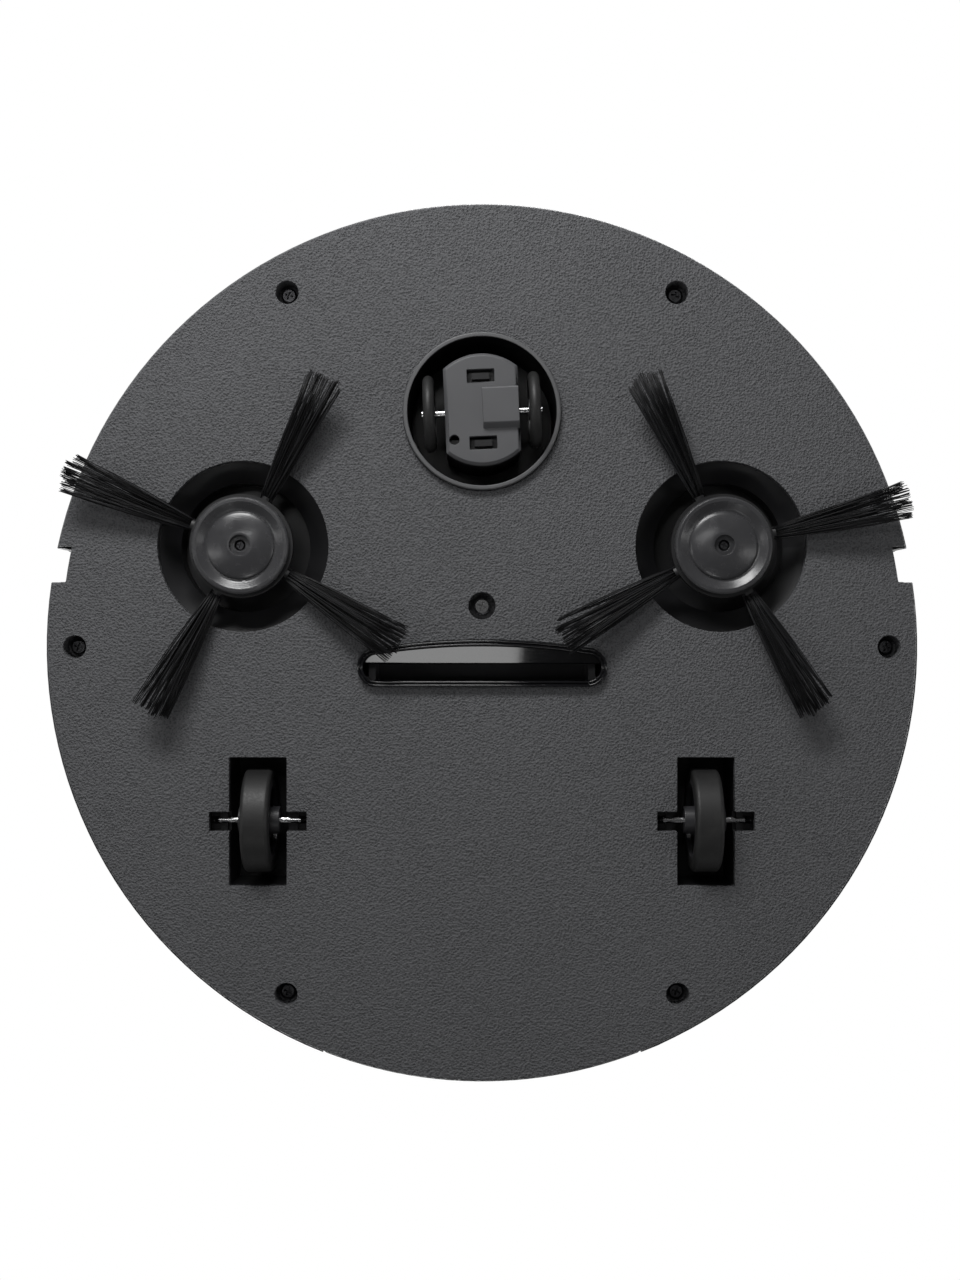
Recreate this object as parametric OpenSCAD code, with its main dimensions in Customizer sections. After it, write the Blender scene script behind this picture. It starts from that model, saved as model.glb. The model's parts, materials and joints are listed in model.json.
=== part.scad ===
// Round robot vacuum with one steered drive unit, two side brushes and two free rear wheels.
// The floor is z = 0 and -Y is the direction of travel, so +X is the robot's own left.

/* [Body] */
// Radius of the base plate
body_r = 125; // [118:1:155]
// How far the front half of the plate is set forward of the rear half
nose_shift = 2.5; // [1.5:0.5:4]
// Height of the top panel above the floor
body_h = 66; // [64:1:90]
// Height of the underside of the base plate above the floor
plate_z = 10; // [9:0.5:12]
// Thickness of the base plate
plate_t = 2.5; // [2:0.1:3.5]
// How far the outer walls stand out past the base plate
wall_overhang = 1; // [0.5:0.1:3]
// Thickness of the outer walls
wall_t = 2.5; // [1.8:0.1:3.2]
// Height of the top cover's rim
cover_h = 14; // [12:1:18]
// Radius of the rounded edge of the top cover
cover_edge_r = 6; // [3:0.5:9]
// Radius of the glossy top panel
panel_r = 112; // [60:1:114]
// Running clearance of shafts in their bores
shaft_gap = 0.05; // [0.02:0.01:0.1]
// Clearance between pieces that slide or drop into each other
slip_gap = 0.4; // [0.2:0.05:0.8]

/* [Bumper] */
// Where the bumper ends, measured forward of the middle
bumper_end_y = 28.5; // [27:0.5:36]
// Where the rear wall starts, measured forward of the middle
wall_end_y = 18.7; // [14:0.1:20]
// How far the bumper can be pushed in
bumper_travel = 2.5; // [1.5:0.1:2.7]
// Depth of the notch in the plate between bumper and rear wall
notch_d = 4.1; // [2:0.1:6]
// Height of the soft strip on the bumper
strip_h = 8; // [4:0.5:14]
// How far the soft strip stands out of the bumper
strip_out = 0.5; // [0.2:0.1:1.5]

/* [Drive unit] */
// Distance of the steering axis in front of the middle
drive_y = 67.7; // [62:0.1:70]
// Angle the unit is turned to at rest
drive_turn = -2.5; // [-30:0.5:30]
// Radius of the drive wheels
drive_wheel_r = 11; // [10:0.1:12]
// Distance of each drive wheel from the steering axis
drive_wheel_x = 15.1; // [14.6:0.1:15.6]
// Width of a drive tyre
drive_tyre_w = 3.2; // [2.4:0.1:3.6]
// Radius of the hole of the drive well
well_r = 21.4; // [20.6:0.1:23]
// Radius of the round sides of the drive cover
drive_cover_r = 16; // [14.5:0.1:17]
// Half of the width of the drive cover between its flats
drive_half_w = 10.65; // [10.2:0.05:11]

/* [Side brushes] */
// Distance of each brush axis from the middle line
brush_x = 68.8; // [67:0.1:72]
// Distance of the brush axes in front of the middle
brush_y = 28.9; // [26:0.1:32]
// Radius of the rim of the brush recess
brush_recess_r = 24.6; // [23.5:0.1:26]
// Radius of the pit inside the recess
brush_pit_r = 18.8; // [18.7:0.1:20]
// Radius of the turned knob
knob_r = 13.9; // [12:0.1:15.5]
// Height of the knob's face above the floor
knob_z = 3; // [2.5:0.1:5]
// Reach of the bristles from the brush axis
brush_reach = 54.6; // [40:0.1:55]
// Width of a bristle tuft at its end
tuft_w = 11.2; // [4:0.1:13]

/* [Suction mouth] */
// Half of the length of the mouth between the centres of its round ends
mouth_end_x = 30.3; // [24:0.1:34]
// Radius of the round ends of the mouth
mouth_end_r = 5.5; // [5.3:0.1:5.8]
// Distance of the mouth's straight rear edge behind the middle
mouth_rear_y = 11.35; // [10.8:0.05:11.6]
// How far the arched front edge bulges forward
mouth_arch = 2.35; // [1:0.05:3]
// How far the mouth stands out below the plate
mouth_drop = 2; // [1:0.1:3]

/* [Rear wheels] */
// Radius of the rear wheels
rear_wheel_r = 15; // [13:0.1:18]
// Width of the rear wheels
rear_wheel_w = 8; // [6:0.1:10]
// Distance of each rear wheel from the middle line
rear_wheel_x = 64.5; // [63:0.1:70]
// Distance of the rear wheels behind the middle
rear_wheel_y = 50.3; // [48:0.1:56]
// Length of a rear axle
rear_axle_l = 26; // [22:0.5:27]

/* [Dust box] */
// Half of the width of the dust box
bin_half_w = 45.5; // [36:0.5:46]
// Height of the top of the dust box above the base plate
bin_h = 26.9; // [24:0.1:28]
// Wall thickness of the dust box
bin_wall = 1.8; // [1.2:0.1:2.4]
// Front face of the dust box, measured behind the middle
bin_front_y = 16.5; // [16:0.1:20]

/* [Screws] */
// Radius of the recess of each case screw
screw_recess_r = 3.3; // [2.8:0.1:3.6]
// Radius of the case screw heads
screw_head_r = 2.25; // [1.8:0.05:2.6]
// Depth of the face of a case screw below the plate's outer face
screw_depth = 4.5; // [3:0.1:6]

/* [Power button] */
// Distance of the power button in front of the middle
button_y = 82; // [78:1:88]
// Radius of the power button
button_r = 7.75; // [6:0.05:9]
// How far the power button travels
button_travel = 1; // [0.5:0.1:1.5]

/* [Hidden] */
$fn = 96;
SIDES = [-1, 1];
LEFT = 1;
RIGHT = -1;
cut = 0.5;        // how far a cutter runs past the face it cuts

// Shell
plate_top = plate_z + plate_t;
wall_top = body_h - cover_h;
shell_r = body_r + wall_overhang;
shell_inner_r = shell_r - wall_t;
front_wall_r = body_r - 8;
front_wall_t = 2;
front_wall_top = wall_top - 5.5;
side_wall_top = wall_top - 0.3;
side_wall_x = 0.8 * body_r;
panel_t = 2.2;
cover_floor_t = 1.8;
cover_floor_z = body_h - panel_t - cover_floor_t;

// Screws and the posts they pull on
screw_seat_z = plate_z + 6.2;
screw_boss_r = screw_recess_r + 1.2;
screw_boss_top = screw_seat_z + 1.8;
post_r = 4;
screw_shank_r = 1.5;
screw_tip_z = screw_seat_z + 9;
// each case screw as [distance from its centre, angle, centre set forward]
case_screw_places = [[body_r - 10.8, -60.6, 1], [body_r - 10.8, -119.4, 1], [body_r - 7.8, 0, 0],
    [body_r - 7.8, 180, 0], [body_r - 10.2, 60.6, 0], [body_r - 10.2, 119.4, 0]];
centre_screw_y = -11.8;
centre_recess_r = 3.9;
centre_head_r = 2.4;

// Drive unit, heights above the floor
gear_m = 0.5;
big_teeth = 24;
small_teeth = 12;
gear_step = gear_m * (big_teeth + small_teeth) / 2;
gear_backlash = 0.1;
axle_z = drive_wheel_r;
idler_z = axle_z + gear_step;
pinion_z = idler_z + gear_step;
axle_r = 1;
drive_tyre_t = 2.4;
cover_z = axle_z - 6;
cover_t = 3;
bulge_t = 2;
housing_z = cover_z + cover_t;
housing_top = pinion_z + 6.5;
housing_wall = 1.2;
turntable_t = 2.5;
turntable_gap = 0.4;
well_wall = 1.3;
well_face_z = plate_z - 1.8;
well_roof_z = housing_top + turntable_t + turntable_gap;
well_roof_t = 2.5;
stem_r = 6;
stem_bore_r = 3.5;
clip_t = 1;
clip_z = well_roof_z + well_roof_t + 0.3;
motor_size = [15, 12, 10];
motor_x = -9;
rib_x = 1.8;
rib_t = 1.5;
small_gear_x = 4;
small_gear_w = 2.5;
big_gear_x = 7;
big_gear_w = 2;
slot_size = [7.8, 3.7];
slot_y = 9.55;

// Side brushes
brush_gear_m = 0.6;
brush_teeth = 36;
pinion_teeth = 12;
brush_gear_step = brush_gear_m * (brush_teeth + pinion_teeth) / 2;
brush_motor_angle = 150;
cup_wall = 1.5;
cup_cone_h = 3.5;
cup_roof_z = plate_top + 11.5;
cup_roof_t = 2;
gear_case_z = cup_roof_z + cup_roof_t;
gear_case_h = 7;
brush_gear_z = gear_case_z + 1;
brush_gear_w = 4;
brush_shaft_r = 2.5;
brush_socket_z = knob_z + 4.8;
brush_base_z = knob_z + 3.6;
brush_screw_r = 1;
brush_screw_head_r = 1.5;
brush_screw_head_h = 0.9;
brush_screw_seat = 2.8;   // depth of the screw's seat behind the knob's face
knob_dome_r = 9.6;
knob_dome_h = 1.9;
knob_ring_z = 2.4;        // depth of the bottom of the ring groove round the dome
knob_rim_z = 0.8;         // depth of the rim behind the top of the dome
knob_rim_w = 1.3;
knob_hole_r = 2.9;
knob_hole_d = 1.5;
tuft_root_r = 13;
tuft_root_w = 2.4;
tuft_t = 1.6;
tuft_root_z = knob_z + 5.55;
tuft_end_z = 2.2;
// angles of the four tufts at rest, seen from above, on the left brush
left_tufts = [-116, -14, 61, 150];
// and on the right brush
right_tufts = [-62.5, -157, 117.7, 31.8];

// Suction mouth and duct
mouth_rim = 1.6;
mouth_top_z = plate_z + 6;
mouth_front_y = mouth_rear_y - 2 * mouth_end_r - mouth_arch;
mouth_arch_r = (pow(mouth_end_x, 2) + pow(mouth_arch, 2)) / (2 * mouth_arch);
mouth_face_z = plate_z - mouth_drop;
mouth_ramp_depth = 1.2;   // depth of the ramp's front edge in the mouth
mouth_ramp_angle = 20;
slot_front_y = mouth_rear_y - mouth_rim - 4.85;
duct_half_w = mouth_end_x + 0.7;
duct_wall = 2;
duct_rear_y = bin_front_y - 1;
duct_outlet_z = [plate_top + 7.5, plate_top + 18.5];
duct_top_z = duct_outlet_z[1] + duct_wall;

// Rear wheels
rear_axle_r = 1;
rear_boss_r = 4;
rear_tyre_t = 3;
well_half_w = rear_wheel_w / 2 + 4.25;
well_half_l = 18.5 + (rear_wheel_r - 15);
saddle_half_w = rear_axle_l / 2 + 1;
saddle_half_l = 2.8;
box_wall = 1.5;
wheel_box_top = rear_wheel_r * 2 + 3;

// Dust box
bin_z = plate_top + 0.8;
bin_top = plate_top + bin_h;
bin_lid_z = bin_top - 3.4;
bin_cavity_y = body_r - 15;
bin_pocket_y = bin_cavity_y + bin_wall;
grip_half_w = 18;
grip_z = [bin_z + 4.5, bin_z + 17.5];
grip_y = body_r - 11;
filter_edge = [7.7, 10.65];
filter_half = [bin_half_w - bin_wall, (bin_pocket_y - bin_front_y) / 2] - filter_edge;
filter_y = (bin_front_y + bin_pocket_y) / 2;
filter_h = 4.5;
filter_pleats = 24;
window_steps = [-2, -1, 0, 1, 2];
window_bar = 2;
window_edge = 3.5;
window_pitch = [for (half = filter_half) (2 * (half - window_edge) + window_bar) / len(window_steps)];

// Deck, fan and battery
deck_z = bin_top + 1.8;
deck_t = 2;
deck_top = deck_z + deck_t;
deck_half_w = bin_half_w + 8.5;
deck_leg_x = bin_half_w + 4.5;
deck_leg_r = 2.5;
deck_leg_y = [bin_front_y + 3.5, 84];
fan_y = 45;
fan_r = 29;
fan_wall = 1.5;
fan_h = 13;
fan_inlet_r = 14;
impeller_r = 24;
impeller_h = 7;
vane_count = 12;
outlet_y = fan_y + fan_r - 16;
outlet_w = 16;
outlet_h = 7;
rotor_shaft_r = 1;
fan_motor_r = 14;
grille_angle = [23, 43];
grille_z = [deck_top + 0.3, deck_top + 6.3];
grille_slots = 8;
cell_r = 9.1;
cell_l = 70;
battery_y = 86;

// Main board
board_z = plate_top + 31.5;
board_t = 1.6;
board_posts = [[33, -34], [41, 4]];
board_post_r = 2.2;

// Power button
button_top = body_h - 0.4;
button_flange_z = cover_floor_z - 1.4;
button_flange_t = 1.2;
button_board_z = cover_floor_z - 8.6;
button_rest_gap = 0.15;   // space left under the button when it is fully pressed
button_stud_h = 0.9;
button_clearance = 0.25;
ring_w = 2;
ring_t = 1.4;

// Bumper
bumper_z = plate_top + 0.5;
bumper_top = wall_top - 0.5;
strip_z = (bumper_z + bumper_top) / 2 - strip_h / 2;
strip_groove = 0.8;
hook_x = 30;
hook_z = front_wall_top - 8;
spring_x = 14;
spring_r = 1.9;
spring_z = front_wall_top - 20;
switch_x = 40;
switch_z = front_wall_top - 14;

// Charge socket
jack_y = 20;
jack_z = (plate_top + wall_top) / 2;
jack_r = 2.75;

// ---------- helpers ----------

// Plan outline: a circle whose front half is set forward
module plan(r) {
    circle(r);
    translate([0, -nose_shift]) circle(r);
    translate([-r, -nose_shift]) square([2 * r, nose_shift]);
}

// Solid of the plan outline with an (r, z) profile turned round its edge
module round_body() {
    rotate_extrude(angle = 180) children();
    translate([0, -nose_shift, 0]) rotate([0, 0, 180]) rotate_extrude(angle = 180) children();
    rotate([90, 0, 0]) linear_extrude(nose_shift) {
        children();
        mirror([1, 0]) children();
    }
}

// Round wall between two radii
module tube(r_out, r_in, h) {
    difference() {
        cylinder(r = r_out, h = h);
        translate([0, 0, -cut]) cylinder(r = r_in, h = h + 2 * cut);
    }
}

// Box given by its lowest and highest corners
module span(low, high) {
    translate(low) cube(high - low);
}

// Extrudes a (y, z) outline along +X
module along_x(length) {
    rotate([90, 0, 90]) linear_extrude(length) children();
}

// Cylinder along X, centred on x = 0
module x_rod(r, length) {
    rotate([0, 90, 0]) cylinder(r = r, h = length, center = true);
}

// Spur gear outline with straight-sided teeth; one tooth points along +X
module gear_outline(teeth, m) {
    pitch_r = teeth * m / 2;
    half = (PI * m / 2 - gear_backlash) / 2;
    flank = m * tan(20);
    root_r = pitch_r - 1.2 * m;
    tip_r = pitch_r + 0.85 * m;
    root_a = (half + 1.2 * flank) / root_r * 180 / PI;
    tip_a = (half - 0.85 * flank) / tip_r * 180 / PI;
    corners = [[root_r, -root_a], [tip_r, -tip_a], [tip_r, tip_a], [root_r, root_a]];
    polygon([for (i = [0 : teeth - 1]) for (c = corners)
        c[0] * [cos(360 * i / teeth + c[1]), sin(360 * i / teeth + c[1])]]);
}

// Coil spring standing on z = 0
module coil(r, wire_r, length, turns) {
    linear_extrude(length, twist = -360 * turns, slices = turns * 14, $fn = 8)
        translate([r, 0]) circle(wire_r);
}

// Cross recess cut upwards into a screw head whose face is at z = 0
module cross_recess(size, depth) {
    for (a = [0, 90]) rotate([0, 0, a + 20])
        translate([-size / 2, -size / 9, -cut]) cube([size, size / 4.5, depth + cut]);
}

// Puts its children at every case screw
module at_case_screws() {
    for (p = case_screw_places)
        translate([p[0] * cos(p[1]), p[0] * sin(p[1]) - p[2] * nose_shift, 0]) children();
}

// Puts its children at a side brush; both sides are drawn as the left one
module at_brush(side) {
    mirror([side == RIGHT ? 1 : 0, 0, 0]) translate([brush_x, -brush_y, 0]) children();
}

// Puts its children at the brush motor beside a brush axis
module at_brush_motor() {
    rotate([0, 0, brush_motor_angle]) translate([brush_gear_step, 0, 0]) children();
}

// Puts its children in the frame of the steered drive unit
module in_unit() {
    translate([0, -drive_y, 0]) rotate([0, 0, drive_turn]) children();
}

module at_rear_wheel(side) {
    translate([side * rear_wheel_x, rear_wheel_y, rear_wheel_r]) children();
}

// Mouth outline, moved inwards by inset
module mouth_outline(inset = 0) {
    for (side = SIDES) translate([side * mouth_end_x, mouth_rear_y - mouth_end_r])
        circle(mouth_end_r - inset);
    intersection() {
        translate([-mouth_end_x, mouth_front_y + inset])
            square([2 * mouth_end_x, mouth_rear_y - mouth_front_y - 2 * inset]);
        translate([0, mouth_front_y + mouth_arch_r]) circle(mouth_arch_r - inset, $fn = 360);
    }
}

// Outline of the drive cover: a circle with two flats
module unit_outline(inset = 0) {
    intersection() {
        circle(drive_cover_r - inset);
        square([2 * (drive_half_w - inset), 2 * drive_cover_r], center = true);
    }
}

// Everything ahead of a line, in the frame of the front half
module ahead_of(y, z0, z1) {
    span([-body_r - 20, -body_r - 20, z0], [body_r + 20, -y, z1]);
}

// ---------- shell ----------

module base_plate() {
    color("#45464a") difference() {
        union() {
            round_body() translate([0, plate_z])
                polygon([[0, 0], [body_r - 0.5, 0], [body_r, 0.5], [body_r, plate_t], [0, plate_t]]);
            at_case_screws() translate([0, 0, plate_z + 1])
                cylinder(r = screw_boss_r, h = screw_boss_top - plate_z - 1);
            translate([0, centre_screw_y, plate_z + 1])
                cylinder(r = centre_recess_r + 1, h = screw_boss_top - plate_z - 1);
            for (side = SIDES) for (p = board_posts) translate([side * p[0], p[1], plate_z + 1])
                cylinder(r = board_post_r, h = board_z - plate_z - 1);
        }
        at_case_screws() screw_hole(screw_recess_r);
        translate([0, centre_screw_y, 0]) screw_hole(centre_recess_r);
        translate([0, -drive_y, 0])
            cylinder(r = well_r + well_wall + shaft_gap, h = plate_top + cut);
        for (side = SIDES) at_brush(side)
            cylinder(r = brush_recess_r, h = plate_top + cut);
        for (side = SIDES) translate([side * rear_wheel_x, rear_wheel_y, 0]) {
            span([-well_half_w, -well_half_l, 0], [well_half_w, well_half_l, plate_top + cut]);
            span([-saddle_half_w, -saddle_half_l, 0], [saddle_half_w, saddle_half_l, plate_top + cut]);
        }
        linear_extrude(plate_top + cut) mouth_outline(-shaft_gap);
        side_notches();
    }
}

// Recess and shank hole of one case screw
module screw_hole(r) {
    cylinder(r = r, h = screw_seat_z);
    cylinder(r = screw_shank_r + 0.2, h = screw_boss_top + cut);
}

// Notches at the plate's edge between the bumper's ends and the rear wall
module side_notches() {
    translate([0, 0, plate_z - cut]) intersection() {
        translate([0, -nose_shift, 0])
            tube(body_r + 5, body_r - notch_d, plate_t + 2 * cut);
        for (side = SIDES) on_side(side)
            linear_extrude(plate_t + 2 * cut) polygon([[0, -bumper_end_y - 0.5],
                [body_r + 9, -bumper_end_y - 0.5], [body_r + 9, -wall_end_y + 2],
                [body_r - notch_d, -wall_end_y], [0, -wall_end_y]]);
    }
}

// Puts its children on one side of the middle plane; they are drawn for the left side
module on_side(side) {
    mirror([side == RIGHT ? 1 : 0, 0, 0]) children();
}

// Outer wall round the rear, with openings for the dust box, the grille and the socket
module rear_wall() {
    color("#3a3b3e") difference() {
        union() {
            intersection() {
                translate([0, 0, plate_top]) tube(shell_r, shell_inner_r, wall_top - plate_top);
                span([-shell_r - 1, -wall_end_y, 0], [shell_r + 1, shell_r + 1, body_h]);
            }
            intersection() {
                translate([0, 0, plate_top])
                    tube(shell_inner_r + 0.5, front_wall_r + 0.2, wall_top - plate_top);
                for (side = SIDES) on_side(side)
                    span([0, -wall_end_y, 0], [body_r, -wall_end_y + 2, body_h]);
            }
            translate([-shell_inner_r + 4.2, jack_y - 7, jack_z - 7])
                cube([4, 14, 14]);
        }
        span([-bin_half_w - slip_gap, 0, 0], [bin_half_w + slip_gap, body_r + 5, bin_top + 1.2]);
        grille_window(0);
        translate([-body_r, jack_y, jack_z]) x_rod(jack_r + 1.8, 30);
    }
}

// Wedge of the wall that the exhaust grille fills
module grille_window(gap) {
    turn = gap * 180 / PI / body_r;
    translate([0, 0, grille_z[0] + gap]) rotate([0, 0, grille_angle[0] + turn])
        rotate_extrude(angle = grille_angle[1] - grille_angle[0] - 2 * turn)
            translate([body_r - 6, 0]) square([12, grille_z[1] - grille_z[0] - 2 * gap]);
}

module exhaust_grille() {
    pitch = (grille_angle[1] - grille_angle[0]) / (grille_slots + 1);
    color("#2b2c2e") difference() {
        intersection() {
            translate([0, 0, grille_z[0] - 1])
                tube(shell_r - 0.4, shell_inner_r + 0.1, grille_z[1] - grille_z[0] + 2);
            grille_window(0.1);
        }
        for (i = [1 : grille_slots]) rotate([0, 0, grille_angle[0] + i * pitch])
            translate([body_r - 6, -1, grille_z[0] + 1])
                cube([12, 2, grille_z[1] - grille_z[0] - 2]);
    }
}

// Inner wall behind the bumper, taller at the sides and bulging round the two front posts
module front_wall() {
    color("#2b2c2e") difference() {
        translate([0, -nose_shift, plate_top]) union() {
            difference() {
                tube(front_wall_r, front_wall_r - front_wall_t, side_wall_top - plate_top);
                span([-body_r, -wall_end_y + nose_shift, -1], [body_r, body_r, body_h]);
                span([-side_wall_x, -body_r, front_wall_top - plate_top],
                    [side_wall_x, body_r, body_h]);
            }
            for (i = [0, 1]) rotate([0, 0, case_screw_places[i][1]])
                translate([case_screw_places[i][0], 0, 0])
                    cylinder(r = screw_boss_r + 1.8, h = front_wall_top - plate_top);
        }
        at_case_screws() cylinder(r = screw_boss_r + 0.3, h = body_h);
        for (side = SIDES) {
            span([side * hook_x - 6, -body_r, hook_z - slip_gap],
                [side * hook_x + 6, -body_r / 2, hook_z + 2 + slip_gap]);
            translate([side * switch_x, 0, switch_z]) rotate([90, 0, 0])
                cylinder(r = 1.5, h = body_r);
        }
    }
}

// Shelf over the dust box that carries the fan and the battery
module mid_deck() {
    color("#232426") difference() {
        union() {
            intersection() {
                translate([0, 0, deck_z]) cylinder(r = body_r - 6, h = deck_t);
                span([-deck_half_w, bin_front_y, 0], [deck_half_w, body_r, body_h]);
            }
            for (side = SIDES) for (y = deck_leg_y) translate([side * deck_leg_x, y, plate_top])
                cylinder(r = deck_leg_r, h = deck_z - plate_top + 0.5);
        }
        translate([0, fan_y, 0]) cylinder(r = fan_inlet_r, h = body_h);
        at_case_screws() cylinder(r = post_r + slip_gap, h = body_h);
    }
}

// Top shell with a rounded edge, a sunk floor for the panel and six screw posts
module top_cover() {
    color("#2f3033") difference() {
        union() {
            round_body() translate([0, wall_top]) cover_profile();
            intersection() {
                at_case_screws() translate([0, 0, screw_boss_top + 0.1])
                    cylinder(r = post_r, h = cover_floor_z + 0.5 - screw_boss_top);
                round_body() square([shell_r - 1, body_h]);
            }
            for (side = SIDES) translate([side * 12, -button_y, button_board_z + 1.6])
                cylinder(r = 2, h = cover_floor_z - button_board_z - 1);
        }
        at_case_screws() cylinder(r = screw_shank_r, h = screw_tip_z + 1);
        translate([0, -button_y, 0]) cylinder(r = button_r + button_clearance, h = body_h + 1);
    }
}

module cover_profile() {
    difference() {
        union() {
            square([shell_r - cover_edge_r, cover_h]);
            square([shell_r, cover_h - cover_edge_r]);
            translate([shell_r - cover_edge_r, cover_h - cover_edge_r]) intersection() {
                circle(cover_edge_r);
                square(cover_edge_r);
            }
        }
        translate([-cut, -cut]) square([shell_inner_r + cut, cover_h - cover_edge_r + cut]);
        translate([-cut, -cut])
            square([shell_r - cover_edge_r - 1 + cut, cover_h - panel_t - cover_floor_t + cut]);
        translate([-cut, cover_h - panel_t]) square([panel_r + cut, panel_t + cut]);
    }
}

module top_panel() {
    color("#111214") difference() {
        translate([0, 0, body_h - panel_t]) round_body()
            polygon([[0, 0], [panel_r - 0.15, 0], [panel_r - 0.15, panel_t - 0.4],
                [panel_r - 0.55, panel_t], [0, panel_t]]);
        translate([0, -button_y, 0]) cylinder(r = button_r + button_clearance, h = body_h + 1);
        translate([0, -button_y, body_h - ring_t])
            cylinder(r = button_r + 0.5 + ring_w, h = ring_t + 1);
    }
}

module power_ring() {
    color("#cfe6f2") translate([0, -button_y, body_h - ring_t])
        tube(button_r + 0.45 + ring_w, button_r + 0.45, ring_t - 0.1);
}

module power_button() {
    color("#1b1c1e") translate([0, -button_y, 0]) {
        translate([0, 0, button_flange_z]) cylinder(r = button_r + 1.4, h = button_flange_t);
        translate([0, 0, button_flange_z]) rotate_extrude() difference() {
            square([button_r, button_top - button_flange_z]);
            translate([button_r - 0.6, button_top - button_flange_z]) rotate(-45) square(2);
            translate([0, button_top - button_flange_z + 23.4]) circle(24, $fn = 400);
        }
        translate([0, 0, button_flange_z - button_stud_h]) cylinder(r = 2, h = button_stud_h + 0.1);
    }
}

module button_spring() {
    color("silver") translate([0, -button_y, button_board_z + 1.7])
        coil(5, 0.35, button_flange_z - button_board_z - 1.8, 4);
}

module button_board() {
    switch_top_z = button_flange_z - button_stud_h - button_travel - button_rest_gap;
    color("#1d5b3a") translate([0, -button_y, button_board_z]) {
        translate([-15, -9, 0]) cube([30, 18, 1.6]);
        translate([-3, -3, 1.6]) cube([6, 6, 2.9]);
        translate([0, 0, 4.4]) cylinder(r = 1.6, h = switch_top_z - button_board_z - 4.4);
        for (a = [0 : 60 : 300]) rotate([0, 0, a + 30]) translate([7.5, -0.8, 1.6])
            cube([1, 1.6, 0.8]);
    }
}

// ---------- screws ----------

// Pan-head screw, seat at z = 0, head below and shank above
module screw(head_r, head_h, shank_r, shank_h) {
    difference() {
        union() {
            translate([0, 0, -head_h]) rotate_extrude() polygon([[0, 0], [head_r - 0.5, 0],
                [head_r, 0.5], [head_r, head_h], [0, head_h]]);
            cylinder(r = shank_r, h = shank_h);
        }
        translate([0, 0, -head_h]) cross_recess(head_r * 1.1, head_h * 0.7);
    }
}

module case_screws() {
    color("#1c1c1e") at_case_screws() translate([0, 0, screw_seat_z])
        screw(screw_head_r, screw_seat_z - plate_z - screw_depth, screw_shank_r, screw_tip_z - screw_seat_z);
}

module centre_screw() {
    color("silver") translate([0, centre_screw_y, screw_seat_z])
        screw(centre_head_r, 1.7, screw_shank_r, screw_tip_z - screw_seat_z);
}

// ---------- steered drive unit ----------

// Round well with a raised collar, a flange on the plate and a roof the unit turns in
module drive_well() {
    color("#2e2f32") translate([0, -drive_y, 0]) difference() {
        union() {
            translate([0, 0, well_face_z]) rotate_extrude() polygon([[0, 0.3], [well_r + 0.3, 0],
                [well_r + well_wall - 0.3, 0], [well_r + well_wall, 0.3],
                [well_r + well_wall, well_roof_z + well_roof_t - well_face_z],
                [0, well_roof_z + well_roof_t - well_face_z]]);
            translate([0, 0, plate_top]) cylinder(r = well_r + well_wall + 3, h = 1.8);
        }
        translate([0, 0, -cut]) cylinder(r = well_r, h = well_roof_z + cut);
        cylinder(r = stem_r + shaft_gap, h = body_h);
    }
}

module drive_housing() {
    inner = drive_half_w - housing_wall;
    color("#1f2022") in_unit() difference() {
        union() {
            translate([0, 0, housing_z]) linear_extrude(housing_top - housing_z) unit_outline();
            translate([0, 0, housing_top]) cylinder(r = well_r - 1, h = turntable_t);
            translate([0, 0, housing_top]) cylinder(r = stem_r, h = clip_z + clip_t + 4 - housing_top);
            for (side = SIDES) translate([-2.5, side * slot_y - 0.9, housing_z - 2.2])
                cube([5, 1.8, 2.7]);
        }
        span([rib_x + rib_t, -7.3, -cut], [inner, 7.3, pinion_z + 5.2]);
        span([-inner, -8.2, -cut], [rib_x, 8.2, idler_z + 1.5]);
        translate([motor_x - 0.05, 0, pinion_z]) along_x(motor_size[0] + 0.1) motor_outline(0.05);
        x_rod_at(axle_z, axle_r + shaft_gap, 60);
        translate([rib_x - 1, 0, idler_z]) rotate([0, 90, 0])
            cylinder(r = axle_r + shaft_gap, h = drive_half_w);
        translate([0, 0, housing_top - 5]) cylinder(r = stem_bore_r, h = body_h);
        translate([0, 0, clip_z - 0.02]) tube(stem_r + 1, stem_r - 1, clip_t + 0.04);
    }
}

module x_rod_at(z, r, length) {
    translate([0, 0, z]) x_rod(r, length);
}

// Flat-sided round can, as (y, z) outline
module motor_outline(gap = 0) {
    intersection() {
        circle(motor_size[1] / 2 + gap);
        square([motor_size[1] + 2 * gap, motor_size[2] + 2 * gap], center = true);
    }
}

module drive_motor() {
    color("silver") in_unit() difference() {
        translate([motor_x, 0, pinion_z]) along_x(motor_size[0]) motor_outline();
        translate([motor_x + 9, 0, pinion_z]) rotate([0, 90, 0]) cylinder(r = 0.8, h = 10);
    }
}

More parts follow.
